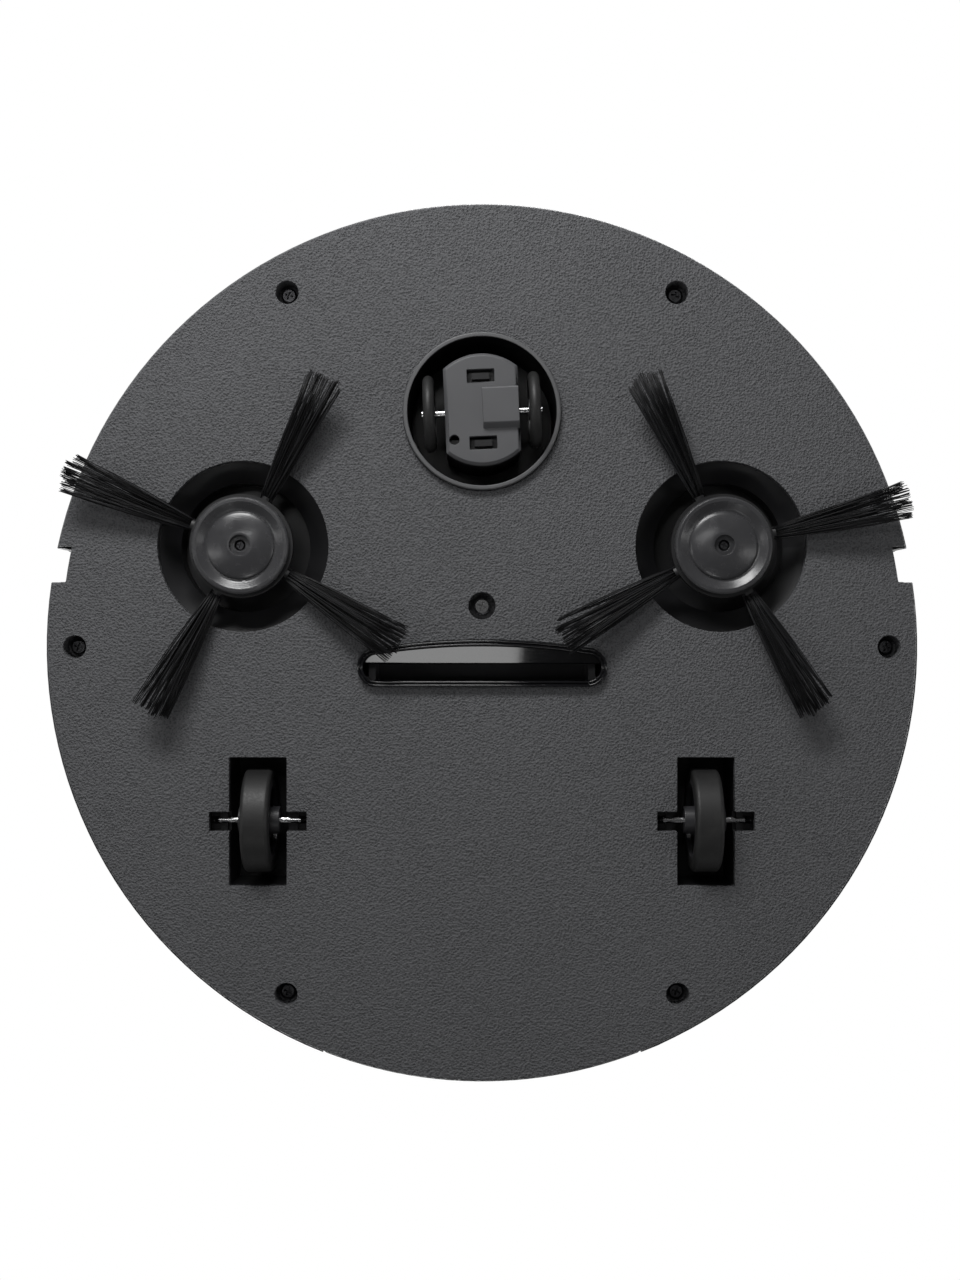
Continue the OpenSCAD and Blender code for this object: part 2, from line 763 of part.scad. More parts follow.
// Cover plate with bevelled edges, two latch slots and the bulge over the axle gear
module drive_cover() {
    inner = drive_half_w - housing_wall;
    color("#6a6b6e") in_unit() difference() {
        union() {
            intersection() {
                translate([0, 0, cover_z]) rotate_extrude() polygon([[0, 0], [drive_cover_r - 0.8, 0],
                    [drive_cover_r, 0.8], [drive_cover_r, cover_t], [0, cover_t]]);
                translate([0, drive_cover_r, cover_z]) rotate([90, 0, 0])
                    linear_extrude(2 * drive_cover_r) polygon([[-drive_half_w, 0.8],
                        [-drive_half_w + 0.8, 0], [drive_half_w - 0.8, 0], [drive_half_w, 0.8],
                        [drive_half_w, cover_t], [-drive_half_w, cover_t]]);
            }
            translate([0.2, 0, cover_z]) along_x(drive_half_w - 0.3)
                polygon([[-6.1, 0.8], [-6.1, 0.4 - bulge_t], [-5.7, -bulge_t], [4, -bulge_t],
                    [4.6, 0.5 - bulge_t], [6, 0.8]]);
        }
        for (side = SIDES) translate([0, side * slot_y, cover_z + cover_t / 2])
            cube([slot_size[0], slot_size[1], cover_t + 2], center = true);
        intersection() {
            x_rod_at(axle_z, gear_m * big_teeth / 2 + 1.05, 60);
            span([rib_x + rib_t, -9, 0], [inner, 9, axle_z]);
        }
        translate([-8.2, 8.4, cover_z - cut]) cylinder(r = 1.4, h = cover_t + 2 * cut);
    }
}

module swivel_clip() {
    color("silver") in_unit() translate([0, 0, clip_z]) difference() {
        tube(stem_r + 2.5, stem_r - 1, clip_t);
        span([-1.5, -stem_r - 4, -cut], [1.5, 0, clip_t + cut]);
    }
}

module drive_axle() {
    color("silver") in_unit() x_rod_at(axle_z, axle_r, 2 * drive_wheel_x + drive_tyre_w + 1.4);
}

module drive_hubs() {
    hub_r = drive_wheel_r - drive_tyre_t;
    color("#2a2b2d") in_unit() for (side = SIDES) translate([side * drive_wheel_x, 0, axle_z])
        rotate([0, 90, 0]) difference() {
            union() {
                cylinder(r = hub_r, h = drive_tyre_w - 0.4, center = true);
                cylinder(r = 3, h = drive_tyre_w, center = true);
            }
            for (s = SIDES) translate([0, 0, s * drive_tyre_w / 2])
                tube_centre(hub_r - 1.4, 3, 1.6);
            cylinder(r = axle_r, h = 10, center = true);
        }
}

module tube_centre(r_out, r_in, h) {
    translate([0, 0, -h / 2]) tube(r_out, r_in, h);
}

module drive_tyres() {
    color("#18181a") in_unit() for (side = SIDES) translate([side * drive_wheel_x, 0, axle_z])
        rotate([0, 90, 0]) rotate_extrude() drive_tyre_profile();
}

// Tyre with a half-round tread
module drive_tyre_profile() {
    tread_x = drive_wheel_r - drive_tyre_w / 2;
    translate([drive_wheel_r - drive_tyre_t, -drive_tyre_w / 2])
        square([drive_tyre_t - drive_tyre_w / 2, drive_tyre_w]);
    intersection() {
        translate([tread_x, 0]) circle(drive_tyre_w / 2);
        translate([tread_x, -drive_tyre_w]) square(2 * drive_tyre_w);
    }
}

module axle_gear() {
    color("white") in_unit() translate([small_gear_x, 0, axle_z]) difference() {
        along_x(small_gear_w) gear_outline(big_teeth, gear_m);
        x_rod(axle_r, 20);
    }
}

module idler_gear() {
    color("white") in_unit() translate([0, 0, idler_z]) {
        translate([small_gear_x, 0, 0]) along_x(big_gear_x - small_gear_x)
            rotate(180 / small_teeth) gear_outline(small_teeth, gear_m);
        translate([big_gear_x, 0, 0]) along_x(big_gear_w) gear_outline(big_teeth, gear_m);
        translate([rib_x + 0.1, 0, 0]) rotate([0, 90, 0])
            cylinder(r = axle_r, h = drive_half_w - rib_x - 0.2);
    }
}

module motor_pinion() {
    color("gold") in_unit() translate([0, 0, pinion_z]) {
        translate([big_gear_x - 0.2, 0, 0]) along_x(big_gear_w + 0.3)
            rotate(180 / small_teeth) gear_outline(small_teeth, gear_m);
        translate([motor_x + 10, 0, 0]) rotate([0, 90, 0])
            cylinder(r = 0.75, h = big_gear_x - motor_x - 10.1);
    }
}

// ---------- side brushes ----------

// Stepped recess over each brush, with the gear case above it
module brush_cups() {
    case_r = brush_pit_r + cup_wall;
    color("#161617") for (side = SIDES) at_brush(side) difference() {
        union() {
            translate([0, 0, plate_top]) cylinder(r = brush_recess_r + 1.2, h = 1.5);
            translate([0, 0, plate_top]) cylinder(r1 = brush_recess_r + 1.2, r2 = case_r,
                h = cup_cone_h + 2);
            translate([0, 0, plate_top]) cylinder(r = case_r, h = gear_case_z + gear_case_h - plate_top);
        }
        translate([0, 0, plate_top]) cylinder(r1 = brush_recess_r, r2 = brush_pit_r, h = cup_cone_h);
        cylinder(r = brush_pit_r, h = cup_roof_z);
        translate([0, 0, gear_case_z]) cylinder(r = brush_pit_r, h = gear_case_h + cut);
        cylinder(r = brush_shaft_r + shaft_gap, h = body_h);
    }
}

module brush_motors() {
    lid_z = gear_case_z + gear_case_h;
    color("silver") for (side = SIDES) at_brush(side) difference() {
        union() {
            translate([0, 0, lid_z]) cylinder(r = brush_pit_r + cup_wall, h = 2);
            at_brush_motor() translate([0, 0, lid_z]) cylinder(r = 7.5, h = 19);
        }
        translate([0, 0, lid_z - cut]) cylinder(r = brush_shaft_r + shaft_gap, h = 4);
        at_brush_motor() translate([0, 0, lid_z - cut])
            cylinder(r = 1 + shaft_gap, h = 4);
    }
}

module brush_pinion(side) {
    color("gold") at_brush(side) at_brush_motor() translate([0, 0, brush_gear_z]) {
        linear_extrude(brush_gear_w + 0.5) rotate(180 / pinion_teeth)
            gear_outline(pinion_teeth, brush_gear_m);
        cylinder(r = 1, h = gear_case_z + gear_case_h + 3 - brush_gear_z);
    }
}

// Output gear and its shaft, with a pilot hole for the brush screw
module brush_gear(side) {
    color("white") at_brush(side) difference() {
        union() {
            translate([0, 0, brush_gear_z]) linear_extrude(brush_gear_w)
                gear_outline(brush_teeth, brush_gear_m);
            translate([0, 0, brush_socket_z])
                cylinder(r = brush_shaft_r, h = gear_case_z + gear_case_h + 1.8 - brush_socket_z);
        }
        cylinder(r = brush_screw_r, h = brush_socket_z + 6);
    }
}

module brush_base(side) {
    color("#141415") at_brush_plain(side) difference() {
        union() {
            translate([0, 0, brush_base_z]) cylinder(r = knob_r + 0.9, h = 2.6);
            translate([0, 0, brush_base_z]) cylinder(r = 6, h = 11);
            for (a = tuft_angles(side)) rotate([0, 0, a]) translate([0, 0, tuft_root_z])
                rotate([0, 90, 0]) cylinder(r = 1.9, h = knob_r + 1.8);
        }
        cylinder(r = brush_screw_r, h = body_h);
        translate([0, 0, brush_socket_z]) cylinder(r = brush_shaft_r, h = body_h);
        for (a = tuft_angles(side)) rotate([0, 0, a]) tuft();
    }
}

function tuft_angles(side) = side == LEFT ? left_tufts : right_tufts;

// Puts its children at a brush axis without mirroring them
module at_brush_plain(side) {
    translate([side * brush_x, -brush_y, 0]) children();
}

// One bristle tuft along +X: narrow at its root, wider and lower at its end
module tuft() {
    slope = atan((tuft_root_z - tuft_end_z) / (brush_reach - tuft_root_r));
    length = (brush_reach - tuft_root_r) / cos(slope);
    translate([tuft_root_r, 0, tuft_root_z]) rotate([0, slope, 0])
        translate([0, 0, -tuft_t / 2]) linear_extrude(tuft_t)
            polygon([[0, -tuft_root_w / 2], [length - 1.5, -tuft_w / 2], [length, -tuft_w / 4],
                [length, tuft_w / 4], [length - 1.5, tuft_w / 2], [0, tuft_root_w / 2]]);
}

module brush_tufts(side) {
    color("#101011") at_brush_plain(side)
        for (a = tuft_angles(side)) rotate([0, 0, a]) tuft();
}

// Turned knob: a domed middle with a stepped hole for the screw, a sloped ring and a rim
module brush_knob(side) {
    color("#77787a") at_brush_plain(side) translate([0, 0, knob_z])
        rotate_extrude() knob_profile();
}

module knob_profile() {
    back = brush_base_z - knob_z;
    dome_curve = (pow(knob_dome_r, 2) + pow(knob_dome_h, 2)) / (2 * knob_dome_h);
    difference() {
        union() {
            intersection() {
                translate([0, dome_curve]) circle(dome_curve, $fn = 400);
                square([knob_dome_r, back]);
            }
            polygon([[knob_dome_r - 0.2, knob_ring_z], [knob_dome_r + 0.2, knob_ring_z],
                [knob_r - knob_rim_w - 0.2, knob_rim_z + 0.1], [knob_r - knob_rim_w, knob_rim_z],
                [knob_r - 0.5, knob_rim_z], [knob_r, knob_rim_z + 0.5], [knob_r, back],
                [knob_dome_r - 0.2, back]]);
        }
        square([knob_hole_r, knob_hole_d]);
        square([brush_screw_head_r + 0.1, brush_screw_seat]);
        square([brush_screw_r + 0.1, back + cut]);
    }
}

module brush_screw(side) {
    color("#1c1c1e") at_brush_plain(side) translate([0, 0, knob_z + brush_screw_seat])
        screw(brush_screw_head_r, brush_screw_head_h, brush_screw_r, 7.3);
}

// ---------- suction mouth and duct ----------

module suction_mouth() {
    color("#0c0c0d") difference() {
        union() {
            translate([0, 0, mouth_face_z]) linear_extrude(mouth_top_z - mouth_face_z) mouth_outline();
            translate([0, 0, plate_top]) linear_extrude(1.5) mouth_outline(-2);
        }
        difference() {
            translate([0, 0, mouth_face_z - cut])
                linear_extrude(mouth_top_z - mouth_face_z + 2 * cut) mouth_outline(mouth_rim);
            mouth_ramp();
        }
        translate([0, 0, mouth_face_z - cut]) linear_extrude(cut + 0.6) difference() {
            mouth_outline(0.65);
            mouth_outline(0.95);
        }
    }
}

// Shallow ramp inside the mouth that leads back to the slot
module mouth_ramp() {
    low_z = mouth_face_z + mouth_ramp_depth;
    high_z = low_z + (slot_front_y - mouth_front_y) * tan(mouth_ramp_angle);
    translate([-mouth_end_x - 5, 0, 0]) along_x(2 * mouth_end_x + 10)
        polygon([[mouth_front_y, low_z], [slot_front_y - 0.3, high_z - 0.1],
            [slot_front_y, high_z + 0.3], [slot_front_y, mouth_top_z + 2],
            [mouth_front_y, mouth_top_z + 2]]);
}

module suction_duct() {
    slot_rear_y = mouth_rear_y - mouth_rim;
    color("#2b2c2e") difference() {
        union() {
            span([-duct_half_w - duct_wall, slot_front_y - duct_wall, mouth_top_z],
                [duct_half_w + duct_wall, duct_rear_y, duct_top_z]);
            translate([0, centre_screw_y, screw_boss_top + 0.1])
                cylinder(r = post_r, h = duct_top_z - screw_boss_top - 0.1);
            span([-1.2, centre_screw_y, screw_boss_top + 2], [1.2, slot_front_y, duct_top_z - 1]);
        }
        span([-duct_half_w, slot_front_y, 0], [duct_half_w, slot_rear_y, duct_outlet_z[1]]);
        span([-duct_half_w, slot_front_y, duct_outlet_z[0]],
            [duct_half_w, duct_rear_y + cut, duct_outlet_z[1]]);
        translate([0, centre_screw_y, 0]) cylinder(r = screw_shank_r, h = screw_tip_z + 1);
    }
}

// ---------- rear wheels ----------

// Box over each rear wheel with saddles that hold the axle
module wheel_boxes() {
    color("#161617") for (side = SIDES) translate([side * rear_wheel_x, rear_wheel_y, 0])
        wheel_box();
}

module wheel_box() {
    difference() {
        union() {
            span([-well_half_w - box_wall, -well_half_l - box_wall, plate_top],
                [well_half_w + box_wall, well_half_l + box_wall, wheel_box_top]);
            span([-saddle_half_w - box_wall, -saddle_half_l - 2.2, plate_top],
                [saddle_half_w + box_wall, saddle_half_l + 2.2, rear_wheel_r + 4]);
            span([-saddle_half_w - 3, -well_half_l - 4, plate_top],
                [saddle_half_w + 3, well_half_l + 4, plate_top + 1.5]);
        }
        span([-well_half_w, -well_half_l, 0], [well_half_w, well_half_l, wheel_box_top - box_wall]);
        difference() {
            span([-saddle_half_w, -saddle_half_l, 0], [saddle_half_w, saddle_half_l, rear_wheel_r]);
            saddle_lips();
        }
        x_rod_at(rear_wheel_r, rear_axle_r + shaft_gap, 2 * saddle_half_w);
    }
}

// Lips that the axle snaps past on its way into the saddles
module saddle_lips() {
    lip_x = well_half_w + 0.9;
    for (sx = SIDES) for (sy = SIDES)
        translate([sx * (lip_x + 1), sy * (saddle_half_l + rear_axle_r * 0.8) / 2, rear_wheel_r - 0.7])
            cube([2, saddle_half_l - rear_axle_r * 0.8, 1.4], center = true);
}

// Steel axle with pointed ends
module rear_axle(side) {
    color("silver") at_rear_wheel(side) rotate([0, 90, 0]) rotate_extrude()
        polygon([[0, -rear_axle_l / 2], [0.35, -rear_axle_l / 2],
            [rear_axle_r, -rear_axle_l / 2 + 1.2], [rear_axle_r, rear_axle_l / 2 - 1.2],
            [0.35, rear_axle_l / 2], [0, rear_axle_l / 2]]);
}

module rear_hub(side) {
    hub_r = rear_wheel_r - rear_tyre_t;
    color("#2b2c2e") at_rear_wheel(side) rotate([0, 90, 0]) difference() {
        union() {
            cylinder(r = hub_r, h = rear_wheel_w, center = true);
            cylinder(r = rear_boss_r, h = rear_wheel_w + 4, center = true);
        }
        for (s = SIDES) translate([0, 0, s * rear_wheel_w / 2]) tube_centre(hub_r - 1.6, rear_boss_r, 3);
        cylinder(r = rear_axle_r, h = 40, center = true);
    }
}

module rear_tyre(side) {
    edge = 1.2;
    color("#1c1c1e") at_rear_wheel(side) rotate([0, 90, 0]) rotate_extrude() {
        translate([rear_wheel_r - rear_tyre_t, -rear_wheel_w / 2])
            square([rear_tyre_t - edge, rear_wheel_w]);
        translate([rear_wheel_r - edge - 0.01, -rear_wheel_w / 2 + edge])
            square([edge + 0.01, rear_wheel_w - 2 * edge]);
        for (s = SIDES) translate([rear_wheel_r - edge, s * (rear_wheel_w / 2 - edge)])
            circle(edge);
    }
}

// ---------- bumper ----------

module bumper() {
    edge = 0.8;
    color("#323336") translate([0, -nose_shift, 0]) {
        intersection() {
            rotate_extrude() difference() {
                polygon([[shell_inner_r, bumper_z], [shell_r - edge, bumper_z],
                    [shell_r, bumper_z + edge], [shell_r, bumper_top - edge],
                    [shell_r - edge, bumper_top], [shell_inner_r - 2, bumper_top],
                    [shell_inner_r - 2, bumper_top - 2], [shell_inner_r, bumper_top - 2]]);
                translate([shell_r - strip_groove, strip_z]) square([5, strip_h]);
            }
            ahead_of(bumper_end_y - nose_shift, 0, body_h);
        }
        for (side = SIDES) bumper_hook(side);
    }
}

// Snap hook that holds the bumper in the front wall
module bumper_hook(side) {
    wall_y = -sqrt(pow(front_wall_r - front_wall_t, 2) - pow(hook_x + 4, 2));
    intersection() {
        translate([side * hook_x - 4, 0, 0]) rotate([90, 0, 90]) linear_extrude(8)
            polygon([[-body_r, hook_z], [wall_y + 0.3, hook_z], [wall_y + 0.3, hook_z - 1.8],
                [wall_y + 2, hook_z - 1.8], [wall_y + 4.5, hook_z],
                [wall_y + 4.5, hook_z + 2], [-body_r, hook_z + 2]]);
        cylinder(r = shell_inner_r + 0.5, h = body_h);
    }
}

module bumper_strip() {
    color("#1a1a1c") translate([0, -nose_shift, 0]) intersection() {
        rotate_extrude() translate([0, strip_z + 0.1]) polygon([[shell_r - strip_groove, 0],
            [shell_r, 0], [shell_r + strip_out, 0.5], [shell_r + strip_out, strip_h - 0.7],
            [shell_r, strip_h - 0.2], [shell_r - strip_groove, strip_h - 0.2]]);
        ahead_of(bumper_end_y - nose_shift, 0, body_h);
    }
}

module bumper_springs() {
    wall_y = sqrt(pow(front_wall_r, 2) - pow(spring_x - spring_r - 0.5, 2)) + nose_shift;
    gap = sqrt(pow(shell_inner_r, 2) - pow(spring_x + spring_r + 0.5, 2)) + nose_shift - wall_y;
    color("silver") for (side = SIDES) translate([side * spring_x, -wall_y - 0.05, spring_z])
        rotate([90, 0, 0]) coil(spring_r, 0.3, gap - 0.1, 4);
}

// Two micro switches inside the front wall, each with a plunger through it
module bumper_switches() {
    reach = sqrt(pow(shell_inner_r, 2) - pow(switch_x + 1, 2)) + nose_shift - bumper_travel - slip_gap;
    inside = sqrt(pow(front_wall_r - front_wall_t, 2) - pow(switch_x + 6.5, 2)) + nose_shift - 0.2;
    color("#2b2c2e") for (side = SIDES) translate([side * switch_x, 0, switch_z]) {
        translate([-6.4, -inside, -3.2]) cube([12.8, 6, 6.4]);
        rotate([90, 0, 0]) translate([0, 0, inside - 1]) cylinder(r = 1, h = reach - inside + 1);
    }
}

// ---------- dust box ----------

module dust_box() {
    color("#4a4b4f") difference() {
        union() {
            intersection() {
                span([-bin_half_w, bin_front_y, bin_z], [bin_half_w, body_r + 5, bin_lid_z]);
                cylinder(r = shell_r, h = body_h);
            }
            intersection() {
                translate([0, 0, bin_z]) tube(shell_r, shell_inner_r, bin_top + 0.8 - bin_z);
                span([-bin_half_w, 0, 0], [bin_half_w, body_r + 5, body_h]);
            }
        }
        span([-bin_half_w + bin_wall, bin_front_y + bin_wall, bin_z + bin_wall],
            [bin_half_w - bin_wall, bin_cavity_y, body_h]);
        difference() {
            intersection() {
                cylinder(r = shell_inner_r, h = body_h);
                span([-bin_half_w + bin_wall, bin_pocket_y, bin_z + bin_wall],
                    [bin_half_w - bin_wall, body_r, body_h]);
            }
            span([-grip_half_w - 1.6, grip_y - 1.6, grip_z[0] - 1.6],
                [grip_half_w + 1.6, body_r + 5, grip_z[1] + 1.6]);
        }
        span([-grip_half_w, grip_y, grip_z[0]], [grip_half_w, body_r + 5, grip_z[1]]);
        span([-duct_half_w, 0, duct_outlet_z[0]], [duct_half_w, bin_front_y + 3, duct_outlet_z[1]]);
    }
}

// Lid of the dust box with a grid and a rim that holds the filter
module filter_frame() {
    hx = filter_half[0] + 0.2;
    hy = filter_half[1] + 0.2;
    color("#6f7276") difference() {
        union() {
            span([-bin_half_w, bin_front_y, bin_lid_z], [bin_half_w, bin_pocket_y, bin_top]);
            span([-hx - 1.5, filter_y - hy - 1.5, bin_lid_z - filter_h],
                [hx + 1.5, filter_y + hy + 1.5, bin_lid_z + 0.5]);
        }
        span([-hx, filter_y - hy, 0], [hx, filter_y + hy, bin_lid_z]);
        for (i = window_steps) for (j = window_steps)
            translate([i * window_pitch[0], filter_y + j * window_pitch[1], bin_lid_z])
                cube([window_pitch[0] - window_bar, window_pitch[1] - window_bar, 20], center = true);
    }
}

module filter() {
    pitch = 2 * filter_half[1] / filter_pleats;
    folds = [for (i = [0 : 2 * filter_pleats])
        [(2 * filter_pleats - i) * pitch / 2, i % 2 == 0 ? -2 : 1.2 - filter_h]];
    color("white") translate([-filter_half[0], filter_y - filter_half[1], bin_lid_z])
        along_x(2 * filter_half[0]) polygon(concat([[0, -0.1], [2 * filter_half[1], -0.1]], folds));
}

// ---------- fan and battery ----------

// Round housing of the suction fan with its outlet to the exhaust grille
module fan_housing() {
    color("#3b3c40") difference() {
        translate([0, 0, deck_top]) union() {
            translate([0, fan_y, 0]) cylinder(r = fan_r, h = fan_h);
            fan_outlet(0);
        }
        translate([0, fan_y, deck_top + fan_wall]) cylinder(r = fan_r - fan_wall, h = fan_h - 2 * fan_wall);
        translate([0, 0, deck_top]) fan_outlet(fan_wall);
        translate([0, fan_y, 0]) cylinder(r = fan_inlet_r, h = deck_top + 4);
        translate([0, fan_y, 0]) cylinder(r = 4.5, h = body_h);
    }
}

// Outlet duct of the fan, drawn smaller by inset
module fan_outlet(inset) {
    intersection() {
        span([0, outlet_y + inset, inset], [body_r, outlet_y + outlet_w - inset, outlet_h - inset]);
        translate([0, 0, -1]) cylinder(r = shell_inner_r - 1 + inset, h = outlet_h + 2);
    }
}

module impeller() {
    z0 = deck_top + fan_wall + 0.8;
    color("#c9cbcd") translate([0, fan_y, 0]) {
        translate([0, 0, z0 + impeller_h]) cylinder(r = impeller_r, h = 1.2);
        translate([0, 0, z0]) cylinder(r = 4, h = impeller_h + 1);
        for (i = [0 : vane_count - 1]) rotate([0, 0, 360 * i / vane_count])
            translate([9, -0.5, z0 + 0.5]) rotate([0, 0, 25]) cube([13.5, 1, impeller_h]);
        translate([0, 0, z0 + impeller_h]) cylinder(r = rotor_shaft_r, h = 8.5);
    }
}

module fan_motor() {
    base_z = deck_top + fan_h;
    color("silver") translate([0, fan_y, 0]) difference() {
        union() {
            translate([0, 0, base_z]) cylinder(r = fan_motor_r, h = 4.6);
            translate([0, 0, base_z - 2]) cylinder(r = 4.4, h = 3);
        }
        cylinder(r = rotor_shaft_r + shaft_gap, h = body_h);
    }
}

// Two cells side by side in a wrap, with their lead tabs
module battery_pack() {
    color("#2f5d8a") translate([0, battery_y + cell_r, deck_top + cell_r + 0.1]) union() {
        for (i = [0, 1]) translate([-cell_l / 2, i * 2 * cell_r - cell_r + 1, 0])
            rotate([0, 90, 0]) cylinder(r = cell_r, h = cell_l);
        translate([-cell_l / 2, -cell_r + 1, -cell_r]) cube([cell_l, 2 * cell_r, 2 * cell_r]);
    }
}

module main_board() {
    color("#1d5b3a") translate([0, 0, board_z]) {
        span([-45, -38, 0], [45, 8, board_t]);
        span([-12, -22, board_t], [2, -8, board_t + 1.4]);
        span([12, -30, board_t], [20, -22, board_t + 1.2]);
        for (i = [0 : 3]) translate([-34 + 7 * i, -1, board_t]) cylinder(r = 2.5, h = 6 + i % 2);
        for (i = [0 : 4]) span([18 + 5 * i, 1, board_t], [22 + 5 * i, 6, board_t + 5]);
        for (i = [0 : 5]) span([-38 + 4 * i, -32, board_t], [-36 + 4 * i, -28, board_t + 0.9]);
    }
}

module charge_socket() {
    back_x = -shell_inner_r + 4.2;
    color("#151516") translate([0, jack_y, jack_z]) {
        difference() {
            union() {
                span([back_x + 4.05, -5, -6], [back_x + 13, 5, 6]);
                translate([back_x + 2.6, 0, 0]) x_rod(jack_r + 1.5, 8);
            }
            translate([back_x - 3, 0, 0]) x_rod(jack_r, 22);
        }
        translate([back_x + 5.5, 0, 0]) x_rod(1.05, 9);
    }
}

base_plate();
drive_well();
suction_mouth();
suction_duct();
brush_cups();
wheel_boxes();
rear_wall();
front_wall();
mid_deck();
top_cover();
top_panel();
power_ring();
power_button();
button_spring();
button_board();
battery_pack();
main_board();
fan_housing();
fan_motor();
impeller();
brush_motors();
brush_pinion(LEFT);  // brush_pinion_left
brush_pinion(RIGHT);  // brush_pinion_right
brush_gear(LEFT);  // brush_gear_left
brush_gear(RIGHT);  // brush_gear_right
brush_base(LEFT);  // brush_base_left
brush_base(RIGHT);  // brush_base_right
brush_knob(LEFT);  // brush_knob_left
brush_knob(RIGHT);  // brush_knob_right
brush_tufts(LEFT);  // brush_tufts_left
brush_tufts(RIGHT);  // brush_tufts_right
brush_screw(LEFT);  // brush_screw_left
brush_screw(RIGHT);  // brush_screw_right
bumper();
bumper_strip();
bumper_springs();
bumper_switches();
charge_socket();
exhaust_grille();
dust_box();
filter();
filter_frame();
drive_housing();
drive_cover();
drive_motor();
drive_axle();
drive_hubs();
drive_tyres();
axle_gear();
idler_gear();
motor_pinion();
swivel_clip();
case_screws();
centre_screw();
rear_axle(LEFT);  // rear_axle_left
rear_axle(RIGHT);  // rear_axle_right
rear_hub(LEFT);  // rear_hub_left
rear_hub(RIGHT);  // rear_hub_right
rear_tyre(LEFT);  // rear_tyre_left
rear_tyre(RIGHT);  // rear_tyre_right
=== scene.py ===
"""Looks of the round robot vacuum: finishes, rounded edges, bristle tufts, light and camera."""
import json
import math
import random

import bpy
from mathutils import Matrix, Vector


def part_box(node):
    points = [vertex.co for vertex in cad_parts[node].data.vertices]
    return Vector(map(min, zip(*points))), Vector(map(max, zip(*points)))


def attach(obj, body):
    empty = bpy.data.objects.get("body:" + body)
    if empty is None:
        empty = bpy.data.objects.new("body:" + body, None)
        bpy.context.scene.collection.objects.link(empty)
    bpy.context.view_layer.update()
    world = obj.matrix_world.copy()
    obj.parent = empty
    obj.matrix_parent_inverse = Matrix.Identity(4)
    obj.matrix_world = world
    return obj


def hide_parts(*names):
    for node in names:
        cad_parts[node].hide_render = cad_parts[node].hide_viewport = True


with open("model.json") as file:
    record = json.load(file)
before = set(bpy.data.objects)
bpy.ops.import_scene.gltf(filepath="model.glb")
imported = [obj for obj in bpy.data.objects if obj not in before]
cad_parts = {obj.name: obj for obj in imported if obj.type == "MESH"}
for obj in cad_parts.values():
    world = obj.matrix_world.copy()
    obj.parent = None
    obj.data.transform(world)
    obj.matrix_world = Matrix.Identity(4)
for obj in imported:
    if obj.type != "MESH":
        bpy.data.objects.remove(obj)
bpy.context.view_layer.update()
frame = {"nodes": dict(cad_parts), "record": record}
nodes = frame["nodes"]
slot_of = {row["node"]: row["material_slot"] for row in frame["record"]["subparts"]}
body_of = {name: body for body, names in frame["record"]["behaviour"]["bodies"].items() for name in names}
MM = 0.001


# ---------- camera ----------

CAMERA_PLACE = (-0.00057, -0.0020, -0.440)
CAMERA_TURN = (math.pi, 0, 0)
FOCAL_LENGTH = 44.0
SENSOR_WIDTH = 36.0
NEAR_LIMIT = 0.01


def add_camera():
    """Looks straight up at the underside, with the front of the robot at the top of the picture."""
    lens = bpy.data.cameras.new("camera")
    lens.lens = FOCAL_LENGTH
    lens.sensor_width = SENSOR_WIDTH
    lens.clip_start = NEAR_LIMIT
    camera = bpy.data.objects.new("camera", lens)
    camera.location = CAMERA_PLACE
    camera.rotation_euler = CAMERA_TURN
    bpy.context.scene.collection.objects.link(camera)
    bpy.context.scene.camera = camera


# ---------- pattern helpers ----------

# Places of the colour sockets on a Mix node, whose other sockets have the same names.
MIX_FIRST = 6
MIX_SECOND = 7
MIX_RESULT = 2


def add(tree, kind, **settings):
    """Adds one shader node and sets the attributes and inputs given by name."""
    made = tree.nodes.new("ShaderNode" + kind)
    for key, value in settings.items():
        if key in made.inputs:
            set_input(tree, made.inputs[key], value)
        else:
            setattr(made, key, value)
    return made


def set_input(tree, socket, value):
    """Links a node's output to the socket, or sets a plain value."""
    if isinstance(value, bpy.types.NodeSocket):
        tree.links.new(value, socket)
    else:
        socket.default_value = value


def object_coords(tree, centre=(0, 0, 0), stretch=(1, 1, 1), turn=(0, 0, 0)):
    """Object coordinates counted from centre, turned and stretched."""
    place = add(tree, "TexCoord").outputs["Object"]
    moved = add(tree, "Mapping", vector_type="POINT", Vector=place, Location=[-c for c in centre])
    return add(tree, "Mapping", vector_type="POINT", Vector=moved.outputs["Vector"],
               Rotation=turn, Scale=stretch).outputs["Vector"]


def noise(tree, coords, size, detail=3.0, rough=0.55):
    """Noise whose lumps are about size metres across."""
    made = add(tree, "TexNoise", Vector=coords, Scale=1 / size, Detail=detail, Roughness=rough)
    return made.outputs["Fac"]


def cells(tree, coords, size, soft=0.35):
    """Cells about size metres across, with borders as soft as the last value says."""
    made = add(tree, "TexVoronoi", feature="SMOOTH_F1", Vector=coords, Scale=1 / size, Smoothness=soft)
    return made.outputs["Distance"]


def spread(tree, value, low, high, start=0.3, end=0.7):
    """Takes start..end of a pattern to low..high."""
    made = add(tree, "MapRange", Value=value,
               **{"From Min": start, "From Max": end, "To Min": low, "To Max": high})
    return made.outputs["Result"]


def total(tree, first, second, share=0.5):
    """Adds a share of the second pattern to the first."""
    scaled = add(tree, "Math", operation="MULTIPLY")
    set_input(tree, scaled.inputs[0], second)
    scaled.inputs[1].default_value = share
    made = add(tree, "Math", operation="ADD")
    set_input(tree, made.inputs[0], first)
    set_input(tree, made.inputs[1], scaled.outputs[0])
    return made.outputs[0]


def blend_colours(tree, fac, first, second):
    """Mixes two colours, given as sockets or as four numbers, by a pattern."""
    made = add(tree, "Mix", data_type="RGBA")
    set_input(tree, made.inputs["Factor"], fac)
    set_input(tree, made.inputs[MIX_FIRST], first)
    set_input(tree, made.inputs[MIX_SECOND], second)
    return made.outputs[MIX_RESULT]


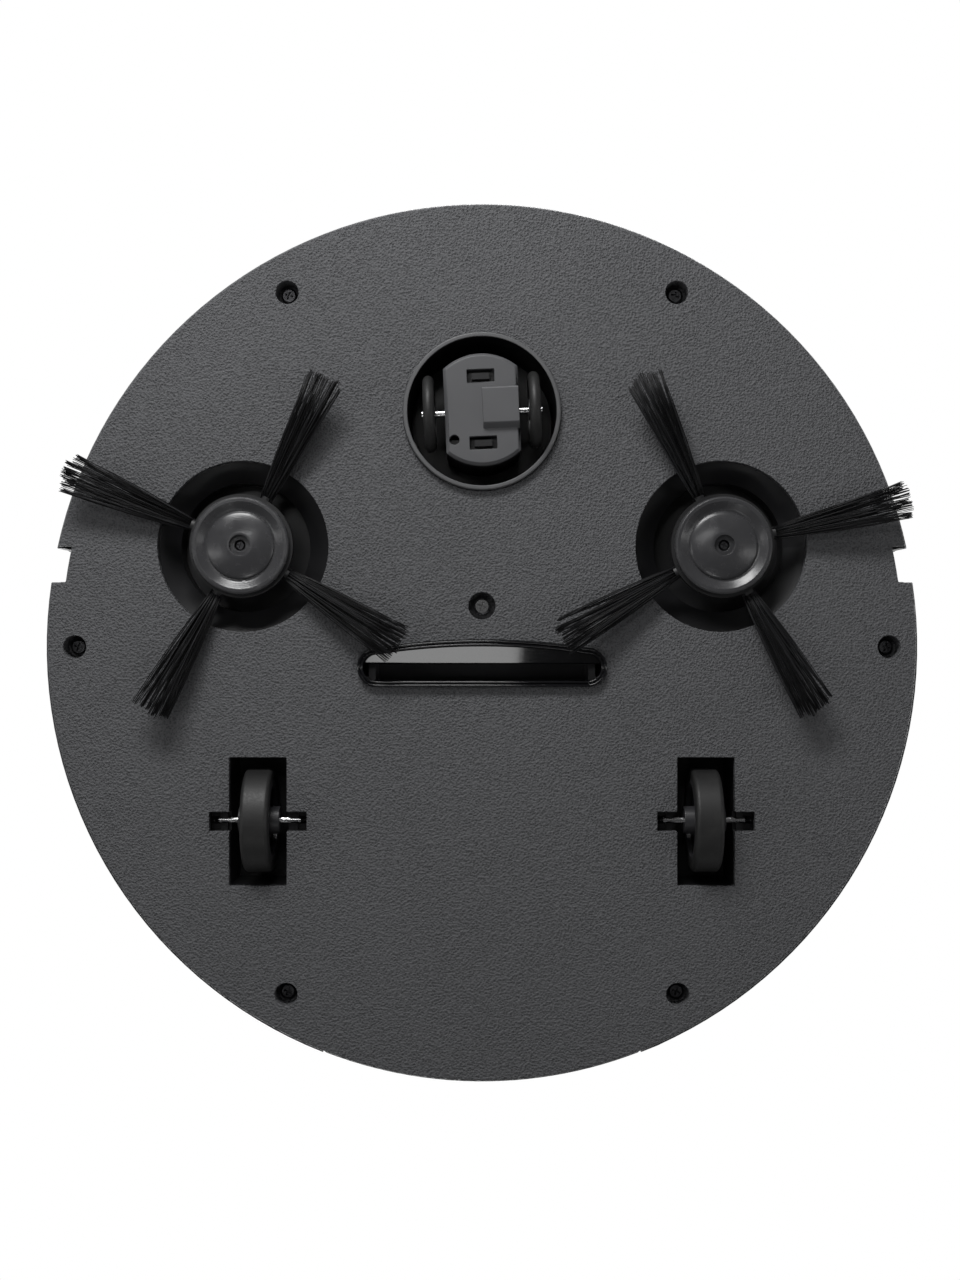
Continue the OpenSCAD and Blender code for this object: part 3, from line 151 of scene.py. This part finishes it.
def tint(tree, fac, dark, light):
    """Mixes a dark and a light colour, of three numbers each, by a pattern."""
    return blend_colours(tree, fac, (*dark, 1), (*light, 1))


def bump(tree, height, depth, strength=1.0, under=None):
    """Turns a height pattern into a normal; depth is in metres."""
    made = add(tree, "Bump", Height=height, Distance=depth, Strength=strength)
    if under is not None:
        tree.links.new(under, made.inputs["Normal"])
    return made.outputs["Normal"]


def shade(colour, amount):
    """The colour made lighter or darker."""
    return tuple(c * amount for c in colour)


def new_material(name, colour, roughness, **sockets):
    """A Principled material; returns it with its node tree and shader."""
    made = bpy.data.materials.new(name)
    made.use_nodes = True
    tree = made.node_tree
    shader = tree.nodes["Principled BSDF"]
    shader.inputs["Base Color"].default_value = (*colour, 1)
    shader.inputs["Roughness"].default_value = roughness
    for key, value in sockets.items():
        shader.inputs[key].default_value = value
    return made, tree, shader


# ---------- finishes ----------

CLOUD_SIZE = 30 * MM
MOULD_DEPTH = 0.012 * MM
POLISH_DEPTH = 0.01 * MM

KNOB_COLOUR = (0.05, 0.05, 0.053)
KNOB_ROUGHNESS = 0.25
# Drive well: the lip keeps its own satin colour, and a little above its lowest point the colour fades into
# a near-black painted shade for the inside of the well.
LIP_COLOUR = (0.115, 0.116, 0.12)
WELL_PAINTED_SHADE_COLOUR = (0.006, 0.006, 0.007)
WELL_ROUGHNESS = 0.42
LIP_HEIGHT = 0.3 * MM
PAINTED_SHADE_FADE = 0.8 * MM
PLATE_GRAIN = 0.65 * MM
PLATE_DEPTH = 0.42 * MM
SHELL_GRAIN = 0.3 * MM


def grained_plastic(name, colour, roughness, grain, depth, speck=0.12):
    """Moulded plastic with a leather-like grain; speck is how far its tone varies."""
    made, tree, shader = new_material(name, colour, roughness)
    coords = object_coords(tree)
    leather = total(tree, cells(tree, coords, grain), noise(tree, coords, grain * 0.5, 4.0), 0.7)
    cloud = noise(tree, coords, CLOUD_SIZE, 2.0)
    patch = total(tree, spread(tree, leather, 0.0, 1.0, 0.35, 1.0), cloud, 0.35)
    dull = spread(tree, leather, roughness - 0.08, roughness + 0.1, 0.3, 1.0)
    set_input(tree, shader.inputs["Base Color"],
              tint(tree, patch, shade(colour, 1 - speck), shade(colour, 1 + speck)))
    set_input(tree, shader.inputs["Roughness"], dull)
    set_input(tree, shader.inputs["Normal"], bump(tree, leather, depth))
    return made


def satin_plastic(name, colour, roughness, scuff=0.06):
    """Smooth moulded plastic with faint flow marks and hairline scuffs."""
    made, tree, shader = new_material(name, colour, roughness)
    coords = object_coords(tree)
    flow = noise(tree, coords, 9 * MM, 3.0)
    scratches = object_coords(tree, stretch=(1, 12, 1), turn=(0, 0, 0.5))
    hair = noise(tree, scratches, 1.4 * MM, 5.0, 0.7)
    fine = noise(tree, coords, 0.28 * MM, 2.0)
    set_input(tree, shader.inputs["Base Color"], tint(tree, flow, shade(colour, 0.9), shade(colour, 1.12)))
    set_input(tree, shader.inputs["Roughness"],
              total(tree, spread(tree, flow, roughness - 0.04, roughness + 0.04), hair, scuff))
    set_input(tree, shader.inputs["Normal"], bump(tree, fine, MOULD_DEPTH))
    return made


def lip_and_painted_shade_plastic(name, lip, painted_shade_inside, roughness, edge, depth):
    """Satin plastic whose lip, below the height called edge, keeps its own mottled colour; above that
    height the colour fades over depth into a near-black painted shade for the inside of the well.
    """
    made, tree, shader = new_material(name, lip, roughness)
    coords = object_coords(tree)
    height = add(tree, "SeparateXYZ", Vector=coords).outputs["Z"]
    flow = noise(tree, coords, 5 * MM, 3.0)
    mottled_lip = tint(tree, flow, shade(lip, 0.85), shade(lip, 1.15))
    # Painted shade: from edge upwards the colour fades into the near-black inside colour.
    painted_shade_share = spread(tree, height, 0.0, 1.0, edge, edge + depth)
    fine = noise(tree, coords, 0.3 * MM, 2.0)
    set_input(tree, shader.inputs["Base Color"], blend_colours(tree, painted_shade_share, mottled_lip, (*painted_shade_inside, 1)))
    set_input(tree, shader.inputs["Roughness"], spread(tree, flow, roughness - 0.05, roughness + 0.05))
    set_input(tree, shader.inputs["Normal"], bump(tree, fine, MOULD_DEPTH))
    return made


def gloss_plastic(name, colour, roughness):
    """Polished black plastic with smudges and fine hairlines."""
    made, tree, shader = new_material(name, colour, roughness)
    smudge = noise(tree, object_coords(tree), 22 * MM, 4.0, 0.6)
    scratches = object_coords(tree, stretch=(1, 40, 1), turn=(0, 0, 0.9))
    hair = noise(tree, scratches, 3 * MM, 3.0, 0.6)
    clouded = spread(tree, smudge, roughness, roughness + 0.05, 0.45, 0.75)
    scuffed = spread(tree, hair, 0.0, 0.08, 0.6, 0.75)
    set_input(tree, shader.inputs["Roughness"], total(tree, clouded, scuffed, 1.0))
    set_input(tree, shader.inputs["Base Color"], tint(tree, smudge, colour, shade(colour, 1.5)))
    set_input(tree, shader.inputs["Normal"], bump(tree, smudge, POLISH_DEPTH))
    return made


def turned_plastic(name, colour, roughness, centre):
    """Satin plastic with the fine concentric marks of a turned mould."""
    made, tree, shader = new_material(name, colour, roughness, Anisotropic=0.55)
    coords = object_coords(tree, centre)
    rings = add(tree, "TexWave", wave_type="RINGS", rings_direction="Z", Vector=coords,
                Scale=1 / (1.5 * MM), Distortion=0.6, Detail=2.0).outputs["Fac"]
    flow = noise(tree, coords, 3 * MM, 3.0)
    round_axis = add(tree, "Tangent", direction_type="RADIAL", axis="Z").outputs[0]
    set_input(tree, shader.inputs["Tangent"], round_axis)
    set_input(tree, shader.inputs["Base Color"],
              tint(tree, total(tree, flow, rings, 0.25), shade(colour, 0.88), shade(colour, 1.1)))
    set_input(tree, shader.inputs["Roughness"], spread(tree, flow, roughness - 0.05, roughness + 0.05))
    set_input(tree, shader.inputs["Normal"], bump(tree, rings, 0.006 * MM))
    return made


def metal(name, colour, roughness, stretch=(1, 1, 1), grain=0.25 * MM):
    """Drawn or rolled metal with marks along its length."""
    made, tree, shader = new_material(name, colour, roughness, Metallic=1.0)
    marks = noise(tree, object_coords(tree, stretch=stretch), grain, 4.0, 0.6)
    cloud = noise(tree, object_coords(tree), 6 * MM, 2.0)
    set_input(tree, shader.inputs["Base Color"], tint(tree, cloud, shade(colour, 0.85), colour))
    set_input(tree, shader.inputs["Roughness"], spread(tree, marks, roughness * 0.7, roughness * 1.4))
    set_input(tree, shader.inputs["Normal"], bump(tree, marks, POLISH_DEPTH))
    return made


def rubber(name, colour, roughness, dust=(0.06, 0.058, 0.055)):
    """Matt rubber with a little dust in patches."""
    made, tree, shader = new_material(name, colour, roughness)
    coords = object_coords(tree)
    grain = noise(tree, coords, 0.5 * MM, 4.0)
    cloud = noise(tree, coords, 7 * MM, 4.0, 0.65)
    set_input(tree, shader.inputs["Base Color"],
              tint(tree, spread(tree, cloud, 0.0, 0.35, 0.5, 0.8), colour, dust))
    set_input(tree, shader.inputs["Roughness"], spread(tree, grain, roughness - 0.06, roughness + 0.08))
    set_input(tree, shader.inputs["Normal"], bump(tree, grain, 0.02 * MM))
    return made


def bristle_nylon(name, colour):
    """Black nylon bristles, each with its own depth of colour."""
    made, tree, shader = new_material(name, colour, 0.42, **{"Specular IOR Level": 0.22})
    strand = add(tree, "Attribute", attribute_name="strand").outputs["Fac"]
    paler = spread(tree, strand, 0.0, 1.0, 0.35, 1.0)
    grain = noise(tree, object_coords(tree), 0.3 * MM, 2.0)
    set_input(tree, shader.inputs["Base Color"], tint(tree, paler, shade(colour, 0.4), shade(colour, 2.2)))
    set_input(tree, shader.inputs["Roughness"], spread(tree, strand, 0.34, 0.52, 0.0, 1.0))
    set_input(tree, shader.inputs["Normal"], bump(tree, grain, POLISH_DEPTH))
    return made


def circuit_board(name):
    """Green solder mask over copper tracks."""
    made, tree, shader = new_material(name, (0.02, 0.14, 0.07), 0.3)
    coords = object_coords(tree)
    bricks = add(tree, "TexBrick", Vector=coords, Scale=1 / (6 * MM), **{"Mortar Size": 0.035})
    tracks = bricks.outputs["Fac"]
    mask = total(tree, tracks, noise(tree, coords, 2 * MM), 0.2)
    set_input(tree, shader.inputs["Base Color"], tint(tree, mask, (0.012, 0.09, 0.045), (0.05, 0.24, 0.1)))
    set_input(tree, shader.inputs["Normal"], bump(tree, tracks, 0.05 * MM))
    return made


def filter_paper(name):
    """Pleated filter paper with loose fibres."""
    made, tree, shader = new_material(name, (0.8, 0.8, 0.77), 0.85)
    fibres = noise(tree, object_coords(tree, stretch=(1, 5, 2)), 0.8 * MM, 5.0, 0.7)
    set_input(tree, shader.inputs["Base Color"], tint(tree, fibres, (0.6, 0.59, 0.55), (0.86, 0.86, 0.83)))
    set_input(tree, shader.inputs["Normal"], bump(tree, fibres, 0.06 * MM))
    return made


def light_guide(name):
    """Frosted pale ring round the power button."""
    made, tree, shader = new_material(name, (0.72, 0.82, 0.88), 0.35, **{"Transmission Weight": 0.25})
    frost = noise(tree, object_coords(tree), 0.4 * MM, 3.0)
    set_input(tree, shader.inputs["Roughness"], spread(tree, frost, 0.28, 0.45))
    set_input(tree, shader.inputs["Normal"], bump(tree, frost, 0.015 * MM))
    return made


def knob_centre(side):
    """Point on the axis of one brush knob."""
    low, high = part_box("brush_knob_" + side)
    return (low + high) / 2


def make_finishes():
    """Every finish by its slot's name. The knobs and the drive well get theirs in round_edges."""
    return {
        "textured_plate": grained_plastic("textured_plate", (0.074, 0.075, 0.079), 0.52,
                                          PLATE_GRAIN, PLATE_DEPTH, 0.6),
        "shell_plastic": grained_plastic("shell_plastic", (0.05, 0.051, 0.055), 0.42,
                                         SHELL_GRAIN, MOULD_DEPTH),
        "dark_plastic": satin_plastic("dark_plastic", (0.035, 0.035, 0.038), 0.4),
        "recess_black": satin_plastic("recess_black", (0.007, 0.007, 0.008), 0.4),
        "gloss_black": gloss_plastic("gloss_black", (0.006, 0.006, 0.007), 0.05),
        "top_gloss": gloss_plastic("top_gloss", (0.008, 0.008, 0.01), 0.05),
        "light_ring": light_guide("light_ring"),
        "satin_grey": satin_plastic("satin_grey", (0.19, 0.19, 0.2), 0.4),
        "satin_cover": satin_plastic("satin_cover", (0.1, 0.101, 0.106), 0.4),
        "brush_black": satin_plastic("brush_black", (0.014, 0.014, 0.015), 0.42),
        "bristle": bristle_nylon("bristle", (0.011, 0.011, 0.012)),
        "bright_steel": metal("bright_steel", (0.78, 0.78, 0.79), 0.2),
        "black_steel": metal("black_steel", (0.09, 0.09, 0.095), 0.4),
        "spring_steel": metal("spring_steel", (0.6, 0.6, 0.61), 0.25),
        "motor_can": metal("motor_can", (0.62, 0.62, 0.63), 0.3, (1, 1, 9)),
        "brass": metal("brass", (0.8, 0.6, 0.3), 0.28),
        "gear_plastic": satin_plastic("gear_plastic", (0.72, 0.72, 0.69), 0.42),
        "circuit_board": circuit_board("circuit_board"),
        "battery_wrap": gloss_plastic("battery_wrap", (0.04, 0.14, 0.33), 0.2),
        "filter_paper": filter_paper("filter_paper"),
        "soft_strip": rubber("soft_strip", (0.018, 0.018, 0.019), 0.62),
        "tyre_rubber": rubber("tyre_rubber", (0.016, 0.016, 0.016), 0.5, (0.05, 0.049, 0.047)),
    }


def paint_frame(finishes):
    """Gives every node of the frame its finish."""
    for name, item in nodes.items():
        for holder in item.material_slots:
            holder.material = finishes[slot_of[name]]


# ---------- working with objects ----------

def only(item):
    """Selects one object and makes it active."""
    bpy.ops.object.select_all(action="DESELECT")
    item.select_set(True)
    bpy.context.view_layer.objects.active = item


SHARP_ANGLE = 35
MERGE_GAP = 0.002 * MM
FLAT_ANGLE = 0.1


def smooth(item, angle=SHARP_ANGLE):
    """Smooth shading that keeps edges sharper than the angle."""
    only(item)
    bpy.ops.object.shade_smooth_by_angle(angle=math.radians(angle))


def apply_modifier(item, kind, **settings):
    """Adds a modifier, sets it and applies it."""
    only(item)
    made = item.modifiers.new(kind.lower(), kind)
    for key, value in settings.items():
        setattr(made, key, value)
    bpy.ops.object.modifier_apply(modifier=made.name)


def finish_piece(item, body, slot, material, *stands_for):
    """Puts a piece on its body with its finish."""
    item.data.materials.clear()
    item.data.materials.append(material)
    if stands_for:
        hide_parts(*stands_for)
    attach(item, body)


def soften(name, width, segments, material):
    """Replaces a node by a copy with its sharp edges rounded; width is in millimetres."""
    piece = bpy.data.objects.new(name + "_rounded", nodes[name].data.copy())
    bpy.context.scene.collection.objects.link(piece)
    only(piece)
    bpy.ops.object.mode_set(mode="EDIT")
    bpy.ops.mesh.select_all(action="SELECT")
    bpy.ops.mesh.remove_doubles(threshold=MERGE_GAP)
    bpy.ops.mesh.dissolve_limited(angle_limit=math.radians(FLAT_ANGLE))
    bpy.ops.object.mode_set(mode="OBJECT")
    apply_modifier(piece, "BEVEL", width=width * MM, segments=segments, limit_method="ANGLE",
                   angle_limit=math.radians(SHARP_ANGLE), use_clamp_overlap=False, miter_outer="MITER_ARC")
    smooth(piece)
    apply_modifier(piece, "WEIGHTED_NORMAL", keep_sharp=True)
    finish_piece(piece, body_of[name], slot_of[name], material, name)


# Width in millimetres and steps of each rounded edge.
ROUNDED = {
    "base_plate": (0.25, 2), "drive_well": (0.2, 2), "suction_mouth": (0.3, 3), "drive_cover": (0.18, 2),
    "brush_knob_left": (0.15, 2), "brush_knob_right": (0.15, 2), "rear_wall": (0.3, 2), "bumper": (0.3, 2),
    "dust_box": (0.3, 2), "power_button": (0.2, 2), "rear_hub_left": (0.3, 2), "rear_hub_right": (0.3, 2),
}


def round_edges(finishes):
    """Rounds the edges of the pieces that show."""
    for name, (width, segments) in ROUNDED.items():
        material = finishes[slot_of[name]]
        if name.startswith("brush_knob"):
            side = name.split("_")[-1]
            material = turned_plastic("turned_knob_" + side, KNOB_COLOUR, KNOB_ROUGHNESS, knob_centre(side))
        if name == "drive_well":
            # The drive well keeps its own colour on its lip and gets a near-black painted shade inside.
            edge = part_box(name)[0].z + LIP_HEIGHT
            material = lip_and_painted_shade_plastic("well_lip_painted_shade", LIP_COLOUR, WELL_PAINTED_SHADE_COLOUR, WELL_ROUGHNESS, edge, PAINTED_SHADE_FADE)
        soften(name, width, segments, material)


# ---------- bristles ----------

TUFT_ANGLES = {"left": (-116, -14, 61, 150), "right": (-62.5, -157, 117.7, 31.8)}
TUFT_REACH = 54.8 * MM
TUFT_SPREAD = 5.5 * MM
TUFT_ROOT = 11.5 * MM
TUFT_ROOT_Z = 8.6 * MM
TUFT_END_Z = 2.3 * MM
CLUMPS = 9
STRANDS = 11
STRAND_R = 0.17 * MM
STRAND_SIDES = 5
STRAND_BEND = 1.1 * MM
# For each quarter of a bristle, its rise as a share of the bend and how much thinner it ends.
STRAND_QUARTERS = ((0.45, 0.97), (0.15, 0.92), (-0.15, 0.86), (-0.45, 0.78))
# Half the width of a tuft in its socket, in millimetres.
SOCKET_HALF = 1.15
# How unevenly the clumps grow: a share of the spread, then millimetres and a share of the rise.
LEAN_VARY = 0.08
CLUMP_SHORT = 1.6
SIDE_SHORT = 1.3
CLUMP_RISE = 0.8
RISE_SHARE = 0.6
# How unevenly the bristles of a clump grow, in millimetres.
ROOT_SIDE = 0.2
ROOT_RISE = 1.0
END_SHORT = 1.2
END_SIDE = 0.42
END_RISE = 0.35
SEEDS = {"left": 11, "right": 23}


def bristle():
    """One bristle a metre long on +X, that thins and bends a little towards its end."""
    bpy.ops.object.select_all(action="DESELECT")
    bpy.ops.mesh.primitive_circle_add(vertices=STRAND_SIDES, radius=STRAND_R, fill_type="NGON",
                                      rotation=(0, math.pi / 2, 0))
    made = bpy.context.object
    bpy.ops.object.transform_apply(location=True, rotation=True, scale=True)
    bpy.ops.object.mode_set(mode="EDIT")
    bpy.ops.mesh.select_all(action="SELECT")
    for rise, thinner in STRAND_QUARTERS:
        step = (1 / len(STRAND_QUARTERS), 0, rise * STRAND_BEND)
        bpy.ops.mesh.extrude_region_move(TRANSFORM_OT_translate={"value": step})
        bpy.ops.transform.resize(value=(1, thinner, thinner))
    bpy.ops.object.mode_set(mode="OBJECT")
    return made


def place_strand(pattern, root, end, roll, tone):
    """A copy of the bristle from root to end, with its own mesh, roll and tone."""
    made = bpy.data.objects.new("strand", pattern.data.copy())
    bpy.context.scene.collection.objects.link(made)
    along = end - root
    turn = along.to_track_quat("X", "Z").to_matrix().to_4x4()
    length = Matrix.Scale(along.length, 4, (1, 0, 0))
    made.data.transform(Matrix.Translation(root) @ turn @ Matrix.Rotation(roll, 4, "X") @ length)
    values = made.data.attributes.new("strand", "FLOAT", "POINT")
    values.data.foreach_set("value", [tone] * len(made.data.vertices))
    return made


def tuft_strands(pattern, axis, angle, rng):
    """The bristles of one tuft: clumps that fan out from the socket."""
    turn = Matrix.Rotation(math.radians(angle), 3, "Z")
    made = []
    for clump in range(CLUMPS):
        across = (clump + 0.5) / CLUMPS * 2 - 1
        lean = across + rng.uniform(-LEAN_VARY, LEAN_VARY)
        depth = rng.uniform(-CLUMP_RISE, CLUMP_RISE)
        short = rng.uniform(0, CLUMP_SHORT) * MM + SIDE_SHORT * MM * lean * lean
        for _ in range(STRANDS):
            beside = across * SOCKET_HALF * MM + rng.uniform(-ROOT_SIDE, ROOT_SIDE) * MM
            root = axis + turn @ Vector((TUFT_ROOT, beside, 0))
            root.z = TUFT_ROOT_Z + rng.uniform(-ROOT_RISE, ROOT_RISE) * MM
            reach = TUFT_REACH - short - rng.uniform(0, END_SHORT) * MM
            end = axis + turn @ Vector((reach, lean * TUFT_SPREAD + rng.gauss(0, END_SIDE) * MM, 0))
            end.z = TUFT_END_Z + (depth * RISE_SHARE + rng.uniform(-END_RISE, END_RISE)) * MM
            made.append(place_strand(pattern, root, end, rng.uniform(0, 2 * math.pi), rng.random()))
    return made


def add_bristles(side, finishes):
    """All four tufts of one brush as a piece."""
    rng = random.Random(SEEDS[side])
    axis = Vector(knob_centre(side))
    axis.z = 0
    pattern = bristle()
    strands = []
    for angle in TUFT_ANGLES[side]:
        strands += tuft_strands(pattern, axis, angle, rng)
    bpy.data.objects.remove(pattern)
    bpy.ops.object.select_all(action="DESELECT")
    for item in strands:
        item.select_set(True)
    bpy.context.view_layer.objects.active = strands[0]
    bpy.ops.object.join()
    piece = bpy.context.object
    piece.name = "bristles_" + side
    bpy.ops.object.shade_smooth()
    finish_piece(piece, "brush_" + side, "bristle", finishes["bristle"], "brush_tufts_" + side)


# ---------- stage and light ----------

FLOOR_SIZE = 1.3
FLOOR_DROP = 0.2 * MM
FADE_START = 0.2
FADE_END = 0.6
FLOOR_COLOUR = (0.82, 0.82, 0.81, 1)
WHITE = (1, 1, 1, 1)


def add_floor():
    """Pale floor that fades out all round and shows only from above, so the underside stays in view."""
    bpy.ops.object.select_all(action="DESELECT")
    bpy.ops.mesh.primitive_plane_add(size=FLOOR_SIZE, location=(0, 0, -FLOOR_DROP))
    floor = bpy.context.object
    floor.name = "floor"
    made = bpy.data.materials.new("pale_floor")
    made.use_nodes = True
    tree = made.node_tree
    tree.nodes.clear()
    top = add(tree, "BsdfDiffuse", Color=FLOOR_COLOUR)
    clear = add(tree, "BsdfTransparent")
    mix = add(tree, "MixShader")
    away = add(tree, "VectorMath", operation="LENGTH", Vector=add(tree, "TexCoord").outputs["Object"])
    fade = add(tree, "MapRange", interpolation_type="SMOOTHSTEP", Value=away.outputs["Value"],
               **{"From Min": FADE_START, "From Max": FADE_END})
    hidden = add(tree, "Math", operation="MAXIMUM")
    tree.links.new(add(tree, "NewGeometry").outputs["Backfacing"], hidden.inputs[0])
    tree.links.new(fade.outputs["Result"], hidden.inputs[1])
    tree.links.new(hidden.outputs[0], mix.inputs[0])
    tree.links.new(top.outputs[0], mix.inputs[1])
    tree.links.new(clear.outputs[0], mix.inputs[2])
    tree.links.new(mix.outputs[0], add(tree, "OutputMaterial").inputs["Surface"])
    floor.data.materials.append(made)
    floor.visible_diffuse = False
    floor.visible_glossy = False
    floor.visible_transmission = False
    floor.visible_shadow = False


def add_world():
    """White behind the object and soft grey light from above and below it, with a dark band between."""
    world = bpy.data.worlds.new("studio")
    bpy.context.scene.world = world
    world.use_nodes = True
    tree = world.node_tree
    tree.nodes.clear()
    seen = add(tree, "Background", Color=WHITE, Strength=1.0)
    height = add(tree, "SeparateXYZ", Vector=add(tree, "TexCoord").outputs["Generated"]).outputs["Z"]
    low = spread(tree, height, 0.05, 0.34, -0.5, 0.0)
    high = spread(tree, height, 0.0, 0.9, 0.3, 0.62)
    soft = add(tree, "Background", Color=WHITE, Strength=total(tree, low, high, 1.0))
    mix = add(tree, "MixShader")
    tree.links.new(add(tree, "LightPath").outputs["Is Camera Ray"], mix.inputs[0])
    tree.links.new(soft.outputs[0], mix.inputs[1])
    tree.links.new(seen.outputs[0], mix.inputs[2])
    tree.links.new(mix.outputs[0], add(tree, "OutputWorld").inputs["Surface"])


def area_light(name, place, target, size, power):
    """A rectangular light at place that shines on target."""
    lamp = bpy.data.lights.new(name, "AREA")
    lamp.shape = "RECTANGLE"
    lamp.size, lamp.size_y = size
    lamp.energy = power
    made = bpy.data.objects.new(name, lamp)
    made.location = place
    made.rotation_euler = (Vector(target) - Vector(place)).to_track_quat("-Z", "Y").to_euler()
    bpy.context.scene.collection.objects.link(made)


# Name, place, the point it shines on, width and height, and watts.
LIGHTS = (
    ("underside_key", (-0.11, -0.41, -0.27), (0, -0.05, 0), (0.26, 0.12), 1.75),
    ("mouth_softbox", (-0.0245, 0.363, -0.42), (0, 0, 0), (0.101, 0.07), 0.12),
    ("knob_softbox", (-0.075, -0.172, -0.467), (0, 0, 0), (0.22, 0.03), 0.22),
    ("right_strip", (-0.42, 0.03, -0.3), (0, 0.02, 0), (0.04, 0.3), 0.22),
    ("left_strip", (0.42, 0.03, -0.3), (0, 0.02, 0), (0.04, 0.3), 0.22),
    ("front_key", (0.3, -1.4, 1.5), (0, 0, 0.03), (1.2, 0.6), 26.0),
    ("rear_fill", (-0.5, 1.3, 1.6), (0, 0, 0.03), (1.2, 0.6), 22.0),
    ("side_fill", (1.7, 0.3, 0.9), (0, 0, 0.03), (0.7, 0.7), 12.0),
)


def add_lights():
    """A key, two softboxes and two side strips under the robot, and three lights above it."""
    for light in LIGHTS:
        area_light(*light)


bpy.context.scene.view_settings.view_transform = "Standard"
add_camera()
add_world()
add_floor()
add_lights()
finishes = make_finishes()
paint_frame(finishes)
round_edges(finishes)
for side in ("left", "right"):
    add_bristles(side, finishes)
bpy.context.view_layer.update()
